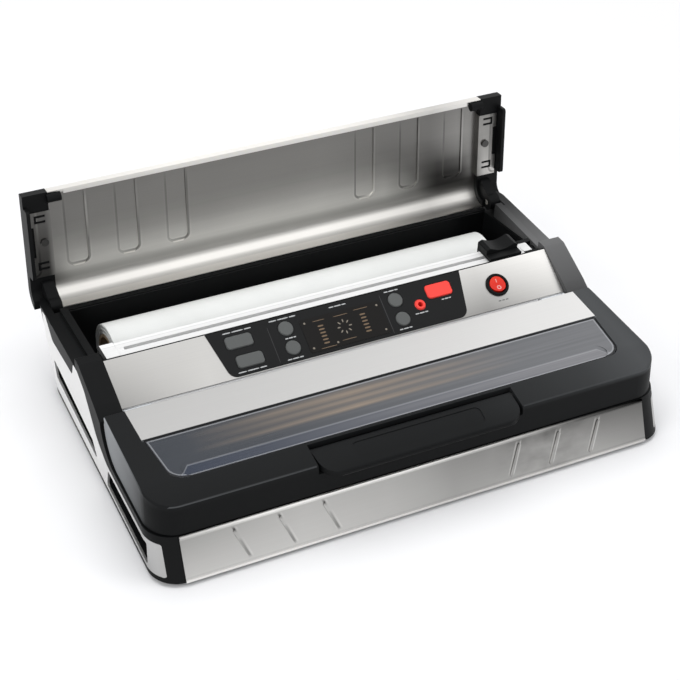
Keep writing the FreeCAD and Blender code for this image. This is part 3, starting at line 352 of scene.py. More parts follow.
def post_sheen(place):
    back = span(axis(place, "Y"), body_front, body_back)
    return ramp(back, (0.30, 0.0), (0.50, 0.09), (0.62, 0.13), (0.74, 0.08), (0.86, 0.02), (1.0, 0.0))


dress(sheen_black("housing_black", housing_sheen, 0.12, 0.375), "upper_housing")
dress(sheen_black("cheek_black", post_sheen, 0.15, 0.395), "side_cheek_right")

# %% [markdown]
# ## Brushed steel
# The front panel, the control fascia and the rear cover are stainless sheet,
# brushed along the width of the machine. Brushing is thousands of scratches,
# all in X. Noise that is stretched hundreds of times in X gives them, as bump
# and as changes of roughness. Sheet metal also mirrors the room in soft bands.
# A white room has no bands to mirror, so each sheet carries its own soft
# bands, as a brightness that runs along the sheet and up it.

# %% Brushed steel sheet
sheet_scratches = 2600.0
steel_hue = (1.0, 0.988, 0.962)


def stretched(place, x, y, z):
    return place.add("ShaderNodeMapping", {}, {"Vector": place, "Scale": (x, y, z)})


def brushed(name, shade, rough, across=sheet_scratches, depth=0.00002, hue=steel_hue, metal=1.0):
    """Brushed metal. shade turns Object coordinates into the brightness of each place."""
    material, shader, place = start_finish(name, Metallic=metal)
    scratches = noise(stretched(place, 6.0, across, across), 1.0, 4.0, 0.65)
    clouds = noise(place, 9.0, 2.0)
    level = shade(place) * (0.90 + scratches * 0.13 + clouds * 0.07)
    feed(shader, Base_Color=tint(level, (0.0, 0.0, 0.0), hue),
         Roughness=rough + scratches * 0.18 - 0.09 + clouds * 0.06, Normal=bump(scratches, 0.25, depth))
    return material


def off_middle(amount, middle, half_step):
    """The distance from the nearest of many middles, which are two half steps apart."""
    return amount.add("ShaderNodeMath", {"operation": "WRAP"},
                      {0: amount - middle, 1: half_step, 2: -half_step})


print("scratches", round(1000 / sheet_scratches, 2), "mm apart")

# %% [markdown]
# ### Front panel
# The panel has a folded hem below and a rolled bead above, and its painted bands are brightest to the left.
# The hem and the bead carry painted highlights. Its slanting ribs are pressed in, and their edges carry
# painted light: on the right both edges of a rib get a painted highlight, and on the left one edge gets
# painted shade.

# %% Front panel
front_half = 0.1724
front_foot, front_top = 0.003, 0.03157
front_rib = 0.1048
front_rib_half_step = 0.01575
front_rib_slant = 0.43
front_rib_waist = 0.029
front_rib_reach = 0.005
front_ribs_start, front_ribs_end = 0.058, 0.142


# Painted highlights and painted shade along the edges of the pressed ribs.
def painted_rib_light(x, z, high):
    upright = abs(x) - (z - front_rib_waist) * front_rib_slant
    off_rib = off_middle(upright, front_rib, front_rib_half_step)
    across = span(off_rib, -front_rib_reach, front_rib_reach)
    painted_rib_highlight = ramp(across, (0.22, 0.0), (0.32, 0.20), (0.40, 0.04), (0.55, 0.0), (0.64, 0.24), (0.74, 0.0))
    painted_rib_shade = ramp(across, (0.30, 0.0), (0.40, 0.08), (0.48, 0.0), (0.54, -0.26), (0.64, -0.26), (0.72, 0.0))
    painted_rib_shade = painted_rib_shade * ramp(high, (0.30, 1.0), (0.56, 0.5), (0.64, 0.05), (0.76, 0.1), (0.82, 1.0))
    on_ribs = ramp(high, (0.16, 0.0), (0.22, 1.0), (0.84, 1.0), (0.90, 0.0))
    on_ribs = on_ribs * within(abs(x), front_ribs_start, front_ribs_end)
    return (painted_rib_highlight * (x > 0.0) + painted_rib_shade * (x < 0.0)) * on_ribs


def front_shade(place):
    x, z = axis(place, "X"), axis(place, "Z")
    along = span(x, -front_half, front_half)
    high = span(z, front_foot, front_top)
    shade = ramp(along, (0.0, 0.56), (0.24, 0.56), (0.42, 0.49), (0.56, 0.37), (0.75, 0.39), (0.88, 0.42),
                 (1.0, 0.30))
    fall = ramp(along, (0.0, 0.22), (0.25, 0.10), (0.5, 0.08), (0.75, 0.20), (0.88, 0.27), (1.0, 0.17))
    # Painted highlights along the hem and the bead, with a little painted shade above the hem and on the
    # bead at the right.
    painted_hem_light = ramp(high, (0.0, 0.30), (0.05, 0.26), (0.08, -0.06), (0.12, 0.0))
    painted_bead_light = ramp(high, (0.90, 0.0), (0.94, 0.40), (1.0, 0.46))
    painted_bead_light = painted_bead_light * ramp(along, (0.0, 0.5), (0.15, 1.0), (0.55, 1.0), (0.72, 0.6), (0.86, -0.15),
                       (1.0, -0.30))
    patches = noise(stretched(place, 34.0, 34.0, 60.0), 1.0) - 0.5
    patches = patches * ramp(along, (0.62, 0.0), (0.78, 0.48), (0.90, 0.0))
    return shade - high * fall + painted_hem_light + painted_bead_light + patches + painted_rib_light(x, z, high)


dress(brushed("front_steel", front_shade, 0.32), "front_panel")

# %% [markdown]
# ### Control fascia
# The fascia's painted reflection is dullest beside the right end of the overlay, and brightens from there
# up the slope and towards its ends. A line of painted shade runs along its top edge above the overlay.

# %% Control fascia
fascia_half = 0.171
panel_foot_z, panel_top_z = 0.054, 0.0717
gap_shade_half = 0.0985


def fascia_shade(place):
    x = axis(place, "X")
    along = span(x, -fascia_half, fascia_half)
    high = span(axis(place, "Z"), panel_foot_z, panel_top_z)
    shade = ramp(along, (0.0, 0.38), (0.10, 0.56), (0.19, 0.68), (0.82, 0.34), (1.0, 0.72))
    rise = ramp(along, (0.0, 0.20), (0.10, 0.10), (0.19, 0.0), (0.82, 0.42), (1.0, 0.36))
    # Painted shade in the gap along the top edge, above the overlay.
    painted_gap_shade = (high > 0.985) * (abs(x) < gap_shade_half)
    return (shade + high * rise) * (1.0 - painted_gap_shade * 0.95)


dress(brushed("fascia_steel", fascia_shade, 0.34), "control_fascia")

# %% [markdown]
# ### Rear cover
# The cover is rolled at its hinge, and a painted highlight lies along the bend. The painted reflection on
# the flat above it darkens towards the lip, which has a painted highlight of its own. Low on the right it
# has a painted dark reflection, as of a dark corner of a room, with painted glints on the rib edges inside
# it. The pressed ribs carry painted shade and painted highlights along their outlines, and the edges that
# face the middle are the darker ones. The flange at the left end carries painted shade, deepest low down.

# %% Rear cover
cover_half = 0.19
cover_foot, cover_top = 0.0575, 0.1407
cover_hue = (1.0, 0.98, 0.94)
cover_rib = 0.1121
cover_rib_half_step = 0.0187
cover_rib_half = 0.00775
cover_rib_foot = 0.0790
cover_rib_corner = 0.004
cover_ribs_start = 0.060
rib_outline_reach = 0.003125
inner_reach = 0.00833
glint_foot = 0.0800
# Painted highlights on the bend and the lip, and painted bands of reflection on the flat between them.
bend_stops = ((0.0, 0.80), (0.006, 0.60), (0.016, 0.66), (0.03, 1.0), (0.058, 1.0), (0.08, 0.64),
              (0.145, 0.44))
flat_stops = ((0.165, 0.46), (0.19, 0.54), (0.222, 0.72), (0.267, 0.80), (0.363, 0.74), (0.458, 0.56),
              (0.554, 0.40), (0.649, 0.34), (0.93, 0.27))
lip_stops = ((0.945, 0.9), (1.0, 1.0))


def rounded_edge(past_side, past_end, radius):
    """Distance outside a rounded corner, from the distances past its two straight edges."""
    side = past_side + radius
    end = past_end + radius
    outside = (side.larger(0.0) ** 2.0 + end.larger(0.0) ** 2.0) ** 0.5
    return outside + side.larger(end).smaller(0.0) - radius


def cover_shade(place):
    x, z = axis(place, "X"), axis(place, "Z")
    along = span(x, -cover_half, cover_half)
    high = span(z, cover_foot, cover_top)
    shade = ramp(high, *bend_stops, *flat_stops, *lip_stops)
    shade = shade * ramp(along, (0.0, 0.84), (0.24, 0.96), (0.30, 1.0), (0.6, 1.0), (0.74, 0.86),
                         (0.84, 0.66), (0.93, 0.86), (1.0, 1.0))
    # Painted shade on the left flange, deepest low down.
    painted_flange_shade = ramp(along, (0.046, 1.0), (0.058, 0.0))
    painted_flange_shade = painted_flange_shade * ramp(high, (0.15, 0.85), (0.45, 0.74), (0.70, 0.48), (0.93, 0.30))
    # A painted dark reflection low on the right.
    painted_dark_reflection = ramp(high, (0.14, 0.0), (0.20, 0.9), (0.30, 1.0), (0.42, 0.85), (0.56, 0.3), (0.68, 0.0))
    painted_dark_reflection = painted_dark_reflection * ramp(along, (0.74, 0.0), (0.81, 0.40), (0.86, 0.82), (0.915, 0.84), (0.945, 0.6),
                       (0.96, 0.3))
    off_rib = off_middle(abs(x), cover_rib, cover_rib_half_step)
    outline = rounded_edge(abs(off_rib) - cover_rib_half, cover_rib_foot - z, cover_rib_corner)
    outline = span(outline, -rib_outline_reach, rib_outline_reach)
    # Painted shade and painted highlights along the outlines of the pressed ribs.
    painted_rib_outline = ramp(outline, (0.22, 0.0), (0.30, 0.06), (0.38, 0.0), (0.45, -0.32), (0.60, -0.32),
                  (0.68, 0.0), (0.76, 0.06), (0.88, 0.0))
    painted_rib_outline = painted_rib_outline * (abs(x) > cover_ribs_start) * ramp(high, (0.15, 1.0), (0.80, 1.0), (0.93, 0.0))
    inner = ramp(span(off_rib, -inner_reach, inner_reach), (0.15, 1.0), (0.85, 0.0))
    pale = ramp(along, (0.15, 1.0), (0.32, 0.0)) * ramp(high, (0.46, 0.0), (0.66, 2.4))
    deep = ramp(high, (0.25, 1.7), (0.50, 1.0)) - pale
    painted_rib_outline = painted_rib_outline * (inner * deep + (1.0 - inner) * (0.8 - (x > 0.0) * 1.5))
    # Painted glints on the rib edges inside the dark reflection.
    painted_glint = ramp(outline, (0.40, 0.0), (0.48, 0.16), (0.58, 0.16), (0.68, 0.0)) * painted_dark_reflection * (z > glint_foot)
    return shade * (1.0 + painted_rib_outline) * (1.0 - painted_dark_reflection) * (1.0 - painted_flange_shade) + painted_glint


dress(brushed("cover_steel", cover_shade, 0.32, hue=cover_hue), "cover_sheet")

# %% [markdown]
# ## Silver trims, the rail and small steel parts
# The strip on the lid and the two flank trims are satin silver, and the cutter rail is a pale enamelled
# extrusion with fine drawing lines along it, which go on over the latch that holds its left end. They take
# the same brushed finish with other bands. On the strip and the trims these are painted reflections,
# lighter to the right and towards the back.

# %% Silver trims and the rail
silver_hue = (1.0, 0.995, 0.985)
silver_scratches = 1800.0
enamel_hue = (1.0, 1.0, 0.985)
enamel_scratches = 1500.0
rail_front, rail_back = 0.02085, 0.03626
latch_end = -0.1666


# Painted reflections: lighter to the right along the strip, and towards the back along the trims.
def strip_shade(place):
    return ramp(span(axis(place, "X"), -front_half, front_half), (0.0, 0.63), (0.5, 0.74), (1.0, 0.85))


def flank_shade(place):
    back = span(axis(place, "Y"), body_front, body_back)
    return ramp(back, (0.0, 0.44), (0.2, 0.62), (0.45, 0.84), (1.0, 0.86))


def rail_shade(place):
    across = span(axis(place, "Y"), rail_front, rail_back)
    return ramp(across, (0.0, 0.60), (0.10, 0.62), (0.12, 0.76), (0.40, 0.74), (0.60, 0.72), (0.78, 0.74),
                (0.80, 0.50), (0.82, 0.80), (1.0, 0.80))


def latch_shade(place):
    return rail_shade(place) * (axis(place, "X") > latch_end) + 0.004


def silver(name, shade):
    return brushed(name, shade, 0.44, silver_scratches, 0.000008, silver_hue)


def enamel(name, shade):
    return brushed(name, shade, 0.5, enamel_scratches, 0.000006, enamel_hue, 0.0)


dress(silver("strip_silver", strip_shade), "lid_strip")
dress(silver("trim_silver", flank_shade), "side_trim_left", "side_trim_right")
dress(enamel("pale_enamel", rail_shade), "cutter_rail")
dress(enamel("latch_enamel", latch_shade), "rail_latch")

# %% [markdown]
# Pins, screws and the like are turned steel, with coarser marks. The screws of
# the cover are blackened, which is the same finish at a sixth of its
# brightness.

# %% Small steel parts
turned_scratches = 900.0
turned_depth = 0.000006
blackened_share = 0.16


def even_shade(place):
    return ramp(noise(place, 60.0), (0.3, 0.42), (0.7, 0.58))


def blackened_shade(place):
    return even_shade(place) * blackened_share


dress(brushed("bright_steel", even_shade, 0.24, turned_scratches, turned_depth), "base_screws",
      "hinge_pins", "handle_pin", "rail_pin", "cutter_blade", "heating_strip", "pump_motor")
dress(brushed("blackened_steel", blackened_shade, 0.3, turned_scratches, turned_depth), "cover_screws")

# %% [markdown]
# ## Smoked window
# The window in the lid is a clear acrylic pane with a grey tint, over a dark chamber. A glass shader would
# bend the light twice in a thin plate and cost time, so the pane is a Principled shader that lets a share
# of the light straight through. A painted reflection makes it darker and bluer to the left and lighter to
# the right, and the tan sealing bar under it is painted on as soft streaks along the pane. Painted
# highlights mark its rim and the step along its front.

# %% Window
window_front = -0.0924
window_rear = -0.05215
window_half = 0.167
window_flare = 0.085
window_corner = 0.011
window_rim = 0.005
streaks_front, streaks_back = -0.084, -0.044
step_inset = 0.0096
step_half = 0.153
step_slant = 1.1
step_line = 0.001
step_stop = 0.0018
frame_wide = 0.0012
streak_tan = (0.33, 0.258, 0.19)
line_grey = (0.50, 0.51, 0.53)
rim_black = (0.020, 0.021, 0.023)


def pane_colour(x, y, haze):
    along = span(x, -front_half, front_half)
    past_side = abs(x) - window_half - (y - window_front) * window_flare
    edge = rounded_edge(past_side, window_front - y, window_corner).larger(y - window_rear)
    step = window_front + step_inset - y - (abs(x) - step_half).larger(0.0) * step_slant
    # A painted reflection: darker and bluer to the left, lighter to the right.
    level = ramp(along, (0.0, 0.0), (0.22, 0.15), (0.5, 0.55), (0.75, 0.85), (1.0, 1.0))
    level = level * (0.7 + haze * 0.6)
    back = tint(level, (0.046, 0.052, 0.062), (0.175, 0.178, 0.186))
    band = tint(level, (0.034, 0.044, 0.068), (0.235, 0.235, 0.245))
    streak = ramp(span(y, streaks_front, streaks_back), (0.20, 0.0), (0.27, 1.0), (0.36, 0.2), (0.44, 0.7),
                  (0.52, 0.35), (0.60, 1.0), (0.74, 0.1))
    streak = streak * ramp(along, (0.08, 0.0), (0.26, 0.6), (0.42, 1.0), (0.62, 0.5), (0.78, 0.0))
    back = tint(streak * (0.2 + haze * 1.3) * 0.92, back, streak_tan)
    # Painted highlights along the rim and the step.
    lines = ramp(span(edge, -window_rim, 0.0), (0.48, 0.0), (0.55, 0.4), (0.66, 0.4), (0.76, 0.0))
    painted_step_highlight = ramp(span(abs(step), 0.0, step_line), (0.2, 0.26), (0.9, 0.0))
    lines = lines + painted_step_highlight * (edge < -step_stop)
    pane = tint(lines, tint(step > 0.0, back, band), line_grey)
    return tint(edge > -frame_wide, pane, rim_black)


def smoked(name, clear):
    """Smoked acrylic. clear is the share of light that goes straight through."""
    material, shader, place = start_finish(name, Roughness=0.08, IOR=1.49, Specular_IOR_Level=0.25)
    material.surface_render_method = "BLENDED"
    haze = noise(stretched(place, 5.0, 320.0, 320.0), 1.0, 3.0)
    feed(shader, Base_Color=pane_colour(axis(place, "X"), axis(place, "Y"), haze),
         Alpha=1.0 - clear + haze * 0.1 - 0.05)
    return material


dress(smoked("smoked_acrylic", 0.16), "lid_window")

# %% [markdown]
# ## Panel, keys and other coloured pieces
# The overlay is a printed film with a fine matt texture. The keys are grey
# and soft, the stop key and the port a clean red. Each is the moulded finish
# with its own colours, roughness and grain, and so are the rubber, the tube
# of the roll and the parts inside the casing.

# %% Coloured mouldings
overlay_charcoal = moulded("overlay_charcoal", (0.009, 0.0092, 0.0094), (0.013, 0.0133, 0.0136), 0.45,
                           5200.0, 0.00001, 0.12)
dress(overlay_charcoal, "panel_overlay")
display_smoke = moulded("display_smoke", (0.0085, 0.0080, 0.0078), (0.0115, 0.0108, 0.0102), 0.3, 3000.0,
                        0.000004, 0.12)
dress(display_smoke, "display_lens")
key_grey = moulded("key_grey", (0.084, 0.088, 0.086), (0.105, 0.110, 0.107), 0.5, 4200.0, 0.00001, 0.25)
dress(key_grey, "key_seal", "key_vacuum_seal", "key_mode_upper", "key_mode_lower", "key_option_upper",
      "key_option_lower")
stop_coral = moulded("stop_coral", (0.84, 0.055, 0.042), (0.90, 0.070, 0.055), 0.4, 3000.0, 0.000006, 0.3)
dress(stop_coral, "key_stop", "accessory_port")
soft_rubber = moulded("soft_rubber", (0.016, 0.016, 0.017), (0.024, 0.024, 0.025), 0.75, 1800.0, 0.00005,
                      0.3)
dress(soft_rubber, "rubber_feet", "lower_gasket", "upper_gasket", "cord_gland", "vacuum_hose", "port_hose")
dress(moulded("wound_card", (0.42, 0.31, 0.20), (0.52, 0.40, 0.27), 0.85, 1200.0, 0.00004), "roll_core")
dress(moulded("press_silicone", (0.42, 0.14, 0.08), (0.50, 0.18, 0.11), 0.6), "press_strip")
dress(moulded("seal_brown", (0.30, 0.19, 0.10), (0.42, 0.27, 0.15), 0.5), "seal_tape", "seal_carrier")
dress(moulded("core_iron", (0.16, 0.14, 0.12), (0.24, 0.21, 0.18), 0.6), "transformer")
dress(moulded("board_green", (0.03, 0.17, 0.08), (0.05, 0.23, 0.11), 0.45), "control_board")

# %% [markdown]
# ## The power switch
# The rocker is a glossy red, with a painted highlight towards its top. The usual bar and ring for on and
# off are so thin that they belong in the finish. It works out each place on the sloping panel: how far it
# is to the side of the switch, and how far up the slope from its middle.

# %% Rocker
panel_rise, panel_run = 17.7, 30.6
panel_tilt = math.atan2(panel_rise, panel_run)
panel_foot_y = -0.01245
rocker_reach = 0.005
switch_x = 0.1225
switch_up = 0.0175
mark_half = 0.00035
mark_radius = 0.0013
bar_up = 0.0029
ring_down = 0.0026


def rocker_red():
    material, shader, place = start_finish("rocker_red", Specular_IOR_Level=0.3)
    fine = noise(place, 3000.0, 2.0)
    aside = axis(place, "X") - switch_x
    up = (axis(place, "Y") - panel_foot_y) * math.cos(panel_tilt)
    up = up + (axis(place, "Z") - panel_foot_z) * math.sin(panel_tilt) - switch_up
    bar = (abs(aside) < mark_half) * (abs(up - bar_up) < mark_radius)
    ring = abs((aside ** 2.0 + (up + ring_down) ** 2.0) ** 0.5 - mark_radius) < mark_half
    # A painted highlight makes the red lighter towards the top of the rocker.
    painted_top_highlight = ramp(span(up, -rocker_reach, rocker_reach), (0.0, 0.0), (0.6, 0.15), (1.0, 0.5))
    red = tint(painted_top_highlight, (0.58, 0.016, 0.007), (0.84, 0.060, 0.028))
    marked = tint(bar.larger(ring) * 0.4, red, (0.90, 0.86, 0.84))
    feed(shader, Base_Color=marked, Roughness=0.16 + fine * 0.06,
         Normal=bump(fine, grain_strength, 0.000003))
    return material


dress(rocker_red(), "power_rocker")

# %% [markdown]
# ## The bag roll
# The roll in the trough is a long sheet of clear embossed film, wound on a
# card tube. A plain tube would hide that, so the sheet is followed as it
# winds: a flat spiral of fourteen turns, given the film's thickness and
# drawn out along the tube. Each turn ends a little further in or out than the
# last, as it does on a roll that has been handled.

# %% Film wound on its tube
film_low, film_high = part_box("film_roll")
roll_axis_y = (film_low[1] + film_high[1]) / 2
roll_axis_z = (film_low[2] + film_high[2]) / 2
roll_clearance = 0.0002
roll_outside = (film_high[2] - film_low[2]) / 2 - roll_clearance
roll_inside = 0.0173
roll_half = (film_high[0] - film_low[0]) / 2
wound_turns = 14
steps_a_turn = 56
pitch = (roll_outside - roll_inside) / wound_turns
film_share = 0.8
film_thickness = pitch * film_share
winding_slack = 0.0001
mean_inset = 0.0005
inset_waves = ((0.0004, 2.399), (0.0003, 5.1))


def wind_film():
    mesh = bpy.data.meshes.new("wound_film")
    corners = []
    faces = []
    last = wound_turns * steps_a_turn
    for step in range(last + 1):
        turn = step / steps_a_turn
        angle = 2 * math.pi * turn
        inset = mean_inset + sum(size * math.sin(turn * rate) for size, rate in inset_waves)
        outer = roll_inside + pitch * turn - winding_slack
        for radius, x in ((outer - film_thickness, inset - roll_half), (outer, inset - roll_half),
                          (outer, roll_half - inset), (outer - film_thickness, roll_half - inset)):
            y = roll_axis_y + radius * math.cos(angle)
            z = roll_axis_z + radius * math.sin(angle)
            corners.append((x, y, z))
        if step:
            first = 4 * step - 4
            for side in range(4):
                following = (side + 1) % 4
                faces.append((first + side, first + following, first + 4 + following, first + 4 + side))
    faces.append((3, 2, 1, 0))
    faces.append(tuple(4 * last + side for side in range(4)))
    mesh.from_pydata(corners, [], faces)
    mesh.update()
    return mesh


def film_finish():
    material, shader, place = start_finish("bag_film", Roughness=0.42, Specular_IOR_Level=0.4)
    weave = place.add("ShaderNodeTexVoronoi", {"distance": "CHEBYCHEV"},
                      {"Vector": stretched(place, 700.0, 700.0, 700.0), "Scale": 1.0, "Randomness": 0.15})
    slow = noise(place, 22.0)
    feed(shader, Base_Color=tint(slow * 0.7 + weave * 0.3, (0.64, 0.65, 0.63), (0.82, 0.83, 0.81)),
         Normal=bump(weave, 0.3, 0.00008))
    return material


def add_piece(mesh, body):
    """A finished piece: an object at the origin that rides on a body."""
    piece = bpy.data.objects.new(mesh.name, mesh)
    scene.collection.objects.link(piece)
    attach(piece, body)
    print(mesh.name, len(mesh.polygons), "faces on", body)
    return piece


film_mesh = wind_film()
film_mesh.materials.append(film_finish())
for face in film_mesh.polygons:
    face.use_smooth = True
film_mesh.set_sharp_from_angle(angle=math.radians(40))
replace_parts(add_piece(film_mesh, "bag_roll"), "film_roll")

# %% [markdown]
# ## What is printed on the panel
# Beside its keys the panel shows short printed labels, a ring of lamps and two
# ladders of lamps. Here each is a plain dash, with no words. All of them are
# one shape, a thin rounded tile, at many places and sizes, so Geometry Nodes
# lay them: the script writes one point for each dash, with its size and turn,
# and the tree puts a tile on every point.

# %% A tree that lays tiles on points


def tile_tree():
    tree = bpy.data.node_groups.new("lay_tiles", "GeometryNodeTree")
    for name, kind in (("Points", "NodeSocketGeometry"), ("Corner", "NodeSocketFloat"),
                       ("Corner Steps", "NodeSocketInt"), ("Ink", "NodeSocketMaterial")):
        tree.interface.new_socket(name, in_out="INPUT", socket_type=kind)
    tree.interface.new_socket("Tiles", in_out="OUTPUT", socket_type="NodeSocketGeometry")
    start = tree.nodes.new("NodeGroupInput")
    given = {socket.name: Wire(tree, socket) for socket in start.outputs if socket.name}
    flow = Wire(tree)
    square = flow.add("GeometryNodeCurvePrimitiveQuadrilateral", {}, {"Width": 1.0, "Height": 1.0})
    outline = flow.add("GeometryNodeFilletCurve", {"mode": "POLY"},
                       {"Curve": square, "Count": given["Corner Steps"], "Radius": given["Corner"]})
    sheet = flow.add("GeometryNodeFillCurve", {"mode": "NGONS"}, {"Curve": outline})
    top = flow.add("GeometryNodeExtrudeMesh", {}, {"Mesh": sheet, "Offset Scale": 1.0, "Individual": False})
    under = flow.add("GeometryNodeFlipFaces", {}, {"Mesh": sheet})
    both = flow.add("GeometryNodeJoinGeometry", {}, {"Geometry": top})
    tree.links.new(under.socket, both.socket.node.inputs["Geometry"])
    tile = flow.add("GeometryNodeMergeByDistance", {}, {"Geometry": both, "Distance": 0.0001})
    size = flow.add("GeometryNodeInputNamedAttribute", {"data_type": "FLOAT_VECTOR"}, {"Name": "size"})
    turn = flow.add("GeometryNodeInputNamedAttribute", {"data_type": "FLOAT_VECTOR"}, {"Name": "turn"})
    laid = flow.add("GeometryNodeInstanceOnPoints", {},
                    {"Points": given["Points"], "Instance": tile, "Scale": size,
                     "Rotation": flow.add("FunctionNodeEulerToRotation", {}, {"Euler": turn})})
    real = flow.add("GeometryNodeRealizeInstances", {}, {"Geometry": laid})
    inked = flow.add("GeometryNodeSetMaterial", {}, {"Geometry": real, "Material": given["Ink"]})
    end = tree.nodes.new("NodeGroupOutput")
    tree.links.new(inked.socket, end.inputs["Tiles"])
    return tree


lay_tiles = tile_tree()
print(lay_tiles.name, len(lay_tiles.nodes), "nodes")

# %% [markdown]
# The points carry two attributes, size and turn. A tile's own Z is its
# thickness. When the tree has run, new_from_object keeps the result as a plain
# mesh, and the object with the modifier is thrown away.

# %% From points to a plain mesh


def tiles(name, marks, ink, corner=0.3, corner_steps=3):
    """A mesh of tiles. Each mark is (centre, size, turn), in metres and radians."""
    points = bpy.data.meshes.new(name + "_points")
    points.from_pydata([centre for centre, size, turn in marks], [], [])
    for label, column in (("size", 1), ("turn", 2)):
        values = points.attributes.new(label, "FLOAT_VECTOR", "POINT")
        values.data.foreach_set("vector", [number for mark in marks for number in mark[column]])
    holder = bpy.data.objects.new(name + "_points", points)
    scene.collection.objects.link(holder)
    modifier = holder.modifiers.new("tiles", "NODES")
    modifier.node_group = lay_tiles
    wanted = {"Corner": corner, "Corner Steps": corner_steps, "Ink": ink}
    for socket in lay_tiles.interface.items_tree:
        if socket.name in wanted:
            modifier[socket.identifier] = wanted[socket.name]
    ready = holder.evaluated_get(bpy.context.evaluated_depsgraph_get())
    mesh = bpy.data.meshes.new_from_object(ready)
    mesh.name = name
    bpy.data.objects.remove(holder)
    bpy.data.meshes.remove(points)
    return mesh


def ink(name, low, high, rough=0.5):
    return moulded(name, low, high, rough, 3000.0, 0.000004, 0.3)


white_ink = ink("white_ink", (0.40, 0.41, 0.41), (0.50, 0.51, 0.51))
tan_ink = ink("tan_ink", (0.13, 0.090, 0.056), (0.18, 0.126, 0.080))
pale_ink = ink("pale_ink", (0.18, 0.16, 0.13), (0.25, 0.22, 0.18))
line_ink = ink("line_ink", (0.024, 0.024, 0.025), (0.032, 0.032, 0.033))
grey_ink = ink("grey_ink", (0.11, 0.11, 0.11), (0.15, 0.15, 0.15))
print("five inks")

# %% [markdown]
# ## Marks on the sloping panel
# The panel leans back by about thirty degrees. A place on it is given as the
# distance across, the distance up the slope and the height over it, in
# millimetres, as on a drawing.

# %% Labels
overlay_height = 0.4
ink_thickness = 0.08
ink_sunk = 0.03
dash_tall = 0.8
dash_shares = (0.28, 0.40, 0.24)
dash_gap_share = 0.04


def panel_mark(x, up, wide, tall, height=overlay_height, spin=0.0):
    rise = height - ink_sunk
    y = panel_foot_y + (up * math.cos(panel_tilt) - rise * math.sin(panel_tilt)) / 1000
    z = panel_foot_z + (up * math.sin(panel_tilt) + rise * math.cos(panel_tilt)) / 1000
    turn = Matrix.Rotation(panel_tilt, 3, "X") @ Matrix.Rotation(spin, 3, "Z")
    return (x / 1000, y, z), (wide / 1000, tall / 1000, ink_thickness / 1000), turn.to_euler()


def label(x, up, wide):
    """A label as three dashes in a row, the middle one the longest."""
    marks = []
    left = x - wide / 2
    for share in dash_shares:
        marks.append(panel_mark(left + share * wide / 2, up, share * wide, dash_tall))
        left += (share + dash_gap_share) * wide
    return marks


labels = ((-76.0, 32.6, 21.0), (-75.0, 3.0, 21.0), (-41.9, 33.0, 20.0), (-41.0, 18.1, 8.0),
          (-43.0, 3.0, 12.0), (0.0, 32.3, 13.0), (42.4, 33.1, 11.0), (42.4, 3.4, 10.0), (58.4, 11.6, 10.0),
          (80.5, 17.4, 7.5))
label_marks = [mark for place in labels for mark in label(*place)]
add_piece(tiles("panel_labels", label_marks, white_ink), "main_body")

# %% [markdown]
# The label of the switch is printed on the bare steel of the fascia, so it lies
# at the height of the panel itself.

# %% Label of the switch
switch_dashes = 3
switch_dash_wide = 2.2
switch_dash_step = 2.9
switch_label_x = 119.6
switch_label_up = 5.4
switch_marks = [panel_mark(switch_label_x + switch_dash_step * dash, switch_label_up, switch_dash_wide,
                           dash_tall, height=0.0) for dash in range(switch_dashes)]
add_piece(tiles("switch_label", switch_marks, grey_ink), "main_body")

# %% [markdown]
# The lens in the middle of the panel shows two ladders of bars and some rules.
# They lie higher than the labels, because the lens stands proud of the overlay.

# %% Ladders on the lens
lens_height = 0.7
ladder_bars = 6
ladder_step = 2.6
ladder_feet = ((-17.4, 8.0), (15.2, 8.6))
ladder_wide, ladder_tall = 4.2, 1.1
rule_tall = 0.45
rules = ((-17.4, 25.2, 9.0), (15.2, 26.0, 11.0), (-0.6, 25.0, 11.0), (-0.6, 6.6, 11.0), (-17.0, 4.6, 12.0))
ladder_marks = [panel_mark(x, up + ladder_step * bar, ladder_wide, ladder_tall, lens_height)
                for x, up in ladder_feet for bar in range(ladder_bars)]
ladder_marks += [panel_mark(x, up, wide, rule_tall, lens_height) for x, up, wide in rules]
add_piece(tiles("panel_ladders", ladder_marks, tan_ink), "main_body")

# %% [markdown]
# Between the ladders is a ring of lamps, each turned so that its long side
# points away from the middle of the ring. A few lone lamps stand beside them.

# %% Lamps on the lens
ring_lamps = 8
ring_x = -0.6
ring_up = 16.2
ring_radius = 4.4
ring_lamp_long, ring_lamp_narrow = 2.5, 0.9
lone_lamp = 1.5
lamp_corner = 0.45
lone_lamps = ((-28.0, 25.4), (27.8, 25.4), (-28.0, 6.4), (27.8, 6.4), (-9.6, 6.2))
lamp_marks = []
for lamp in range(ring_lamps):
    angle = 2 * math.pi * lamp / ring_lamps
    lamp_x = ring_x + ring_radius * math.cos(angle)
    lamp_up = ring_up + ring_radius * math.sin(angle)
    lamp_marks.append(panel_mark(lamp_x, lamp_up, ring_lamp_long, ring_lamp_narrow, lens_height, angle))
lamp_marks += [panel_mark(x, up, lone_lamp, lone_lamp, lens_height) for x, up in lone_lamps]
add_piece(tiles("panel_lamps", lamp_marks, pale_ink, lamp_corner), "main_body")

# %% [markdown]
# Two fine upright lines divide the overlay into its groups of keys.

# %% Dividing lines
divider_marks = [panel_mark(-54.6, 16.0, 0.5, 27.0), panel_mark(32.6, 17.0, 0.6, 30.0)]
add_piece(tiles("panel_dividers", divider_marks, line_ink), "main_body")

# %% [markdown]
# ## Studio
# The machine stands in soft light from three large lamps: one above and a
# little behind, and one on each side in front. They are hidden from
# reflections, so that no lamp shows as a hot patch on the steel.

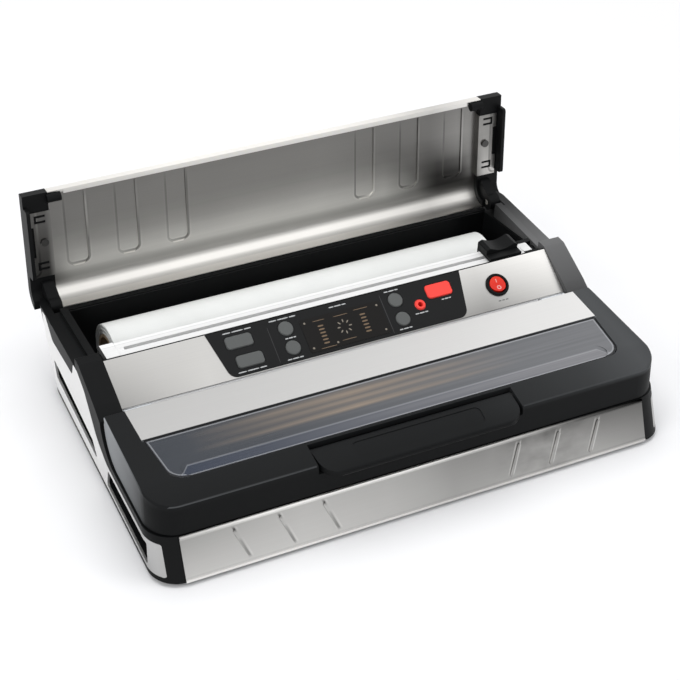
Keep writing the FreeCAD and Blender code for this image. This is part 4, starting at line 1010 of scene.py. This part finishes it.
# %% Lamps
machine_middle = Vector((0.0, 0.0, 0.05))
soft_lamps = (("lamp_above", (0.0, 0.35, 1.5), (1.6, 1.2), 16.0),
              ("lamp_left", (-1.4, -0.5, 0.9), (1.0, 1.0), 9.0),
              ("lamp_right", (1.3, -0.8, 0.8), (0.8, 1.0), 6.0))


def add_lamp(name, place, size, power):
    """A rectangular lamp that faces the machine."""
    data = bpy.data.lights.new(name, "AREA")
    data.shape = "RECTANGLE"
    data.size, data.size_y = size
    data.energy = power
    lamp = bpy.data.objects.new(name, data)
    facing = (machine_middle - Vector(place)).to_track_quat("-Z", "Y")
    lamp.matrix_world = Matrix.Translation(place) @ facing.to_matrix().to_4x4()
    lamp.visible_glossy = False
    scene.collection.objects.link(lamp)
    print(name, power, "W")


for lamp in soft_lamps:
    add_lamp(*lamp)

# %% [markdown]
# A pale floor takes the machine's shadow. It fades to plain white with the
# distance from the middle, so that no view shows its edge. Light Path tells
# which rays meet the floor: the fade is for the camera, for reflections and
# for what is seen through the window, and all other light meets the pale floor.

# %% Floor
floor_half = 3.0
fade_start = 0.35
fade_end = 0.80
floor_mesh = bpy.data.meshes.new("studio_floor")
floor_mesh.from_pydata([(-floor_half, -floor_half, 0.0), (floor_half, -floor_half, 0.0),
                        (floor_half, floor_half, 0.0), (-floor_half, floor_half, 0.0)], [], [(0, 1, 2, 3)])
floor = bpy.data.objects.new("studio_floor", floor_mesh)
scene.collection.objects.link(floor)


def white_to_camera(tree, lit, white):
    """Shows white to the camera and in reflections, and the lit shader to all other light."""
    rays = tree.nodes.new("ShaderNodeLightPath")
    seen = Wire(tree, rays.outputs["Is Camera Ray"]) + Wire(tree, rays.outputs["Is Glossy Ray"])
    seen = seen + Wire(tree, rays.outputs["Is Transmission Ray"])
    return seen.add("ShaderNodeMixShader", {}, {0: seen > 0.5, 1: lit, 2: white})


floor_paint, floor_shader, floor_place = start_finish("studio_floor", Roughness=0.9)
floor_tree = floor_paint.node_tree
feed(floor_shader, Base_Color=tint(noise(floor_place, 6.0), (0.86, 0.86, 0.86), (0.88, 0.88, 0.88)))
from_middle = (axis(floor_place, "X") ** 2.0 + axis(floor_place, "Y") ** 2.0) ** 0.5
near = Wire(floor_tree, floor_shader.outputs["BSDF"])
far = near.add("ShaderNodeEmission", {}, {"Color": (1.0, 1.0, 1.0, 1.0), "Strength": 1.0})
fade = ramp(from_middle, (fade_start, 0.0), (fade_end, 1.0))
faded = near.add("ShaderNodeMixShader", {}, {0: fade, 1: near, 2: far})
floor_output = next(node for node in floor_tree.nodes if node.type == "OUTPUT_MATERIAL")
floor_tree.links.new(white_to_camera(floor_tree, near, faded).socket, floor_output.inputs["Surface"])
floor_mesh.materials.append(floor_paint)
print("floor fades from", fade_start, "to", fade_end, "m")

# %% [markdown]
# The world is white to the camera and in reflections, so the background stays
# clean. To all other light it is dimmer and a little cool, so that the lamps
# give the machine its shape.

# %% World
world = bpy.data.worlds.new("studio_world")
world.use_nodes = True
scene.world = world
world_tree = world.node_tree
world_tree.nodes.clear()
room = Wire(world_tree)
dim = room.add("ShaderNodeBackground", {}, {"Color": (0.95, 0.96, 1.0, 1.0), "Strength": 0.55})
white = room.add("ShaderNodeBackground", {}, {"Color": (1.0, 1.0, 1.0, 1.0), "Strength": 1.0})
world_output = world_tree.nodes.new("ShaderNodeOutputWorld")
world_tree.links.new(white_to_camera(world_tree, dim, white).socket, world_output.inputs["Surface"])
scene.view_settings.view_transform = "Standard"
print("view transform", scene.view_settings.view_transform)
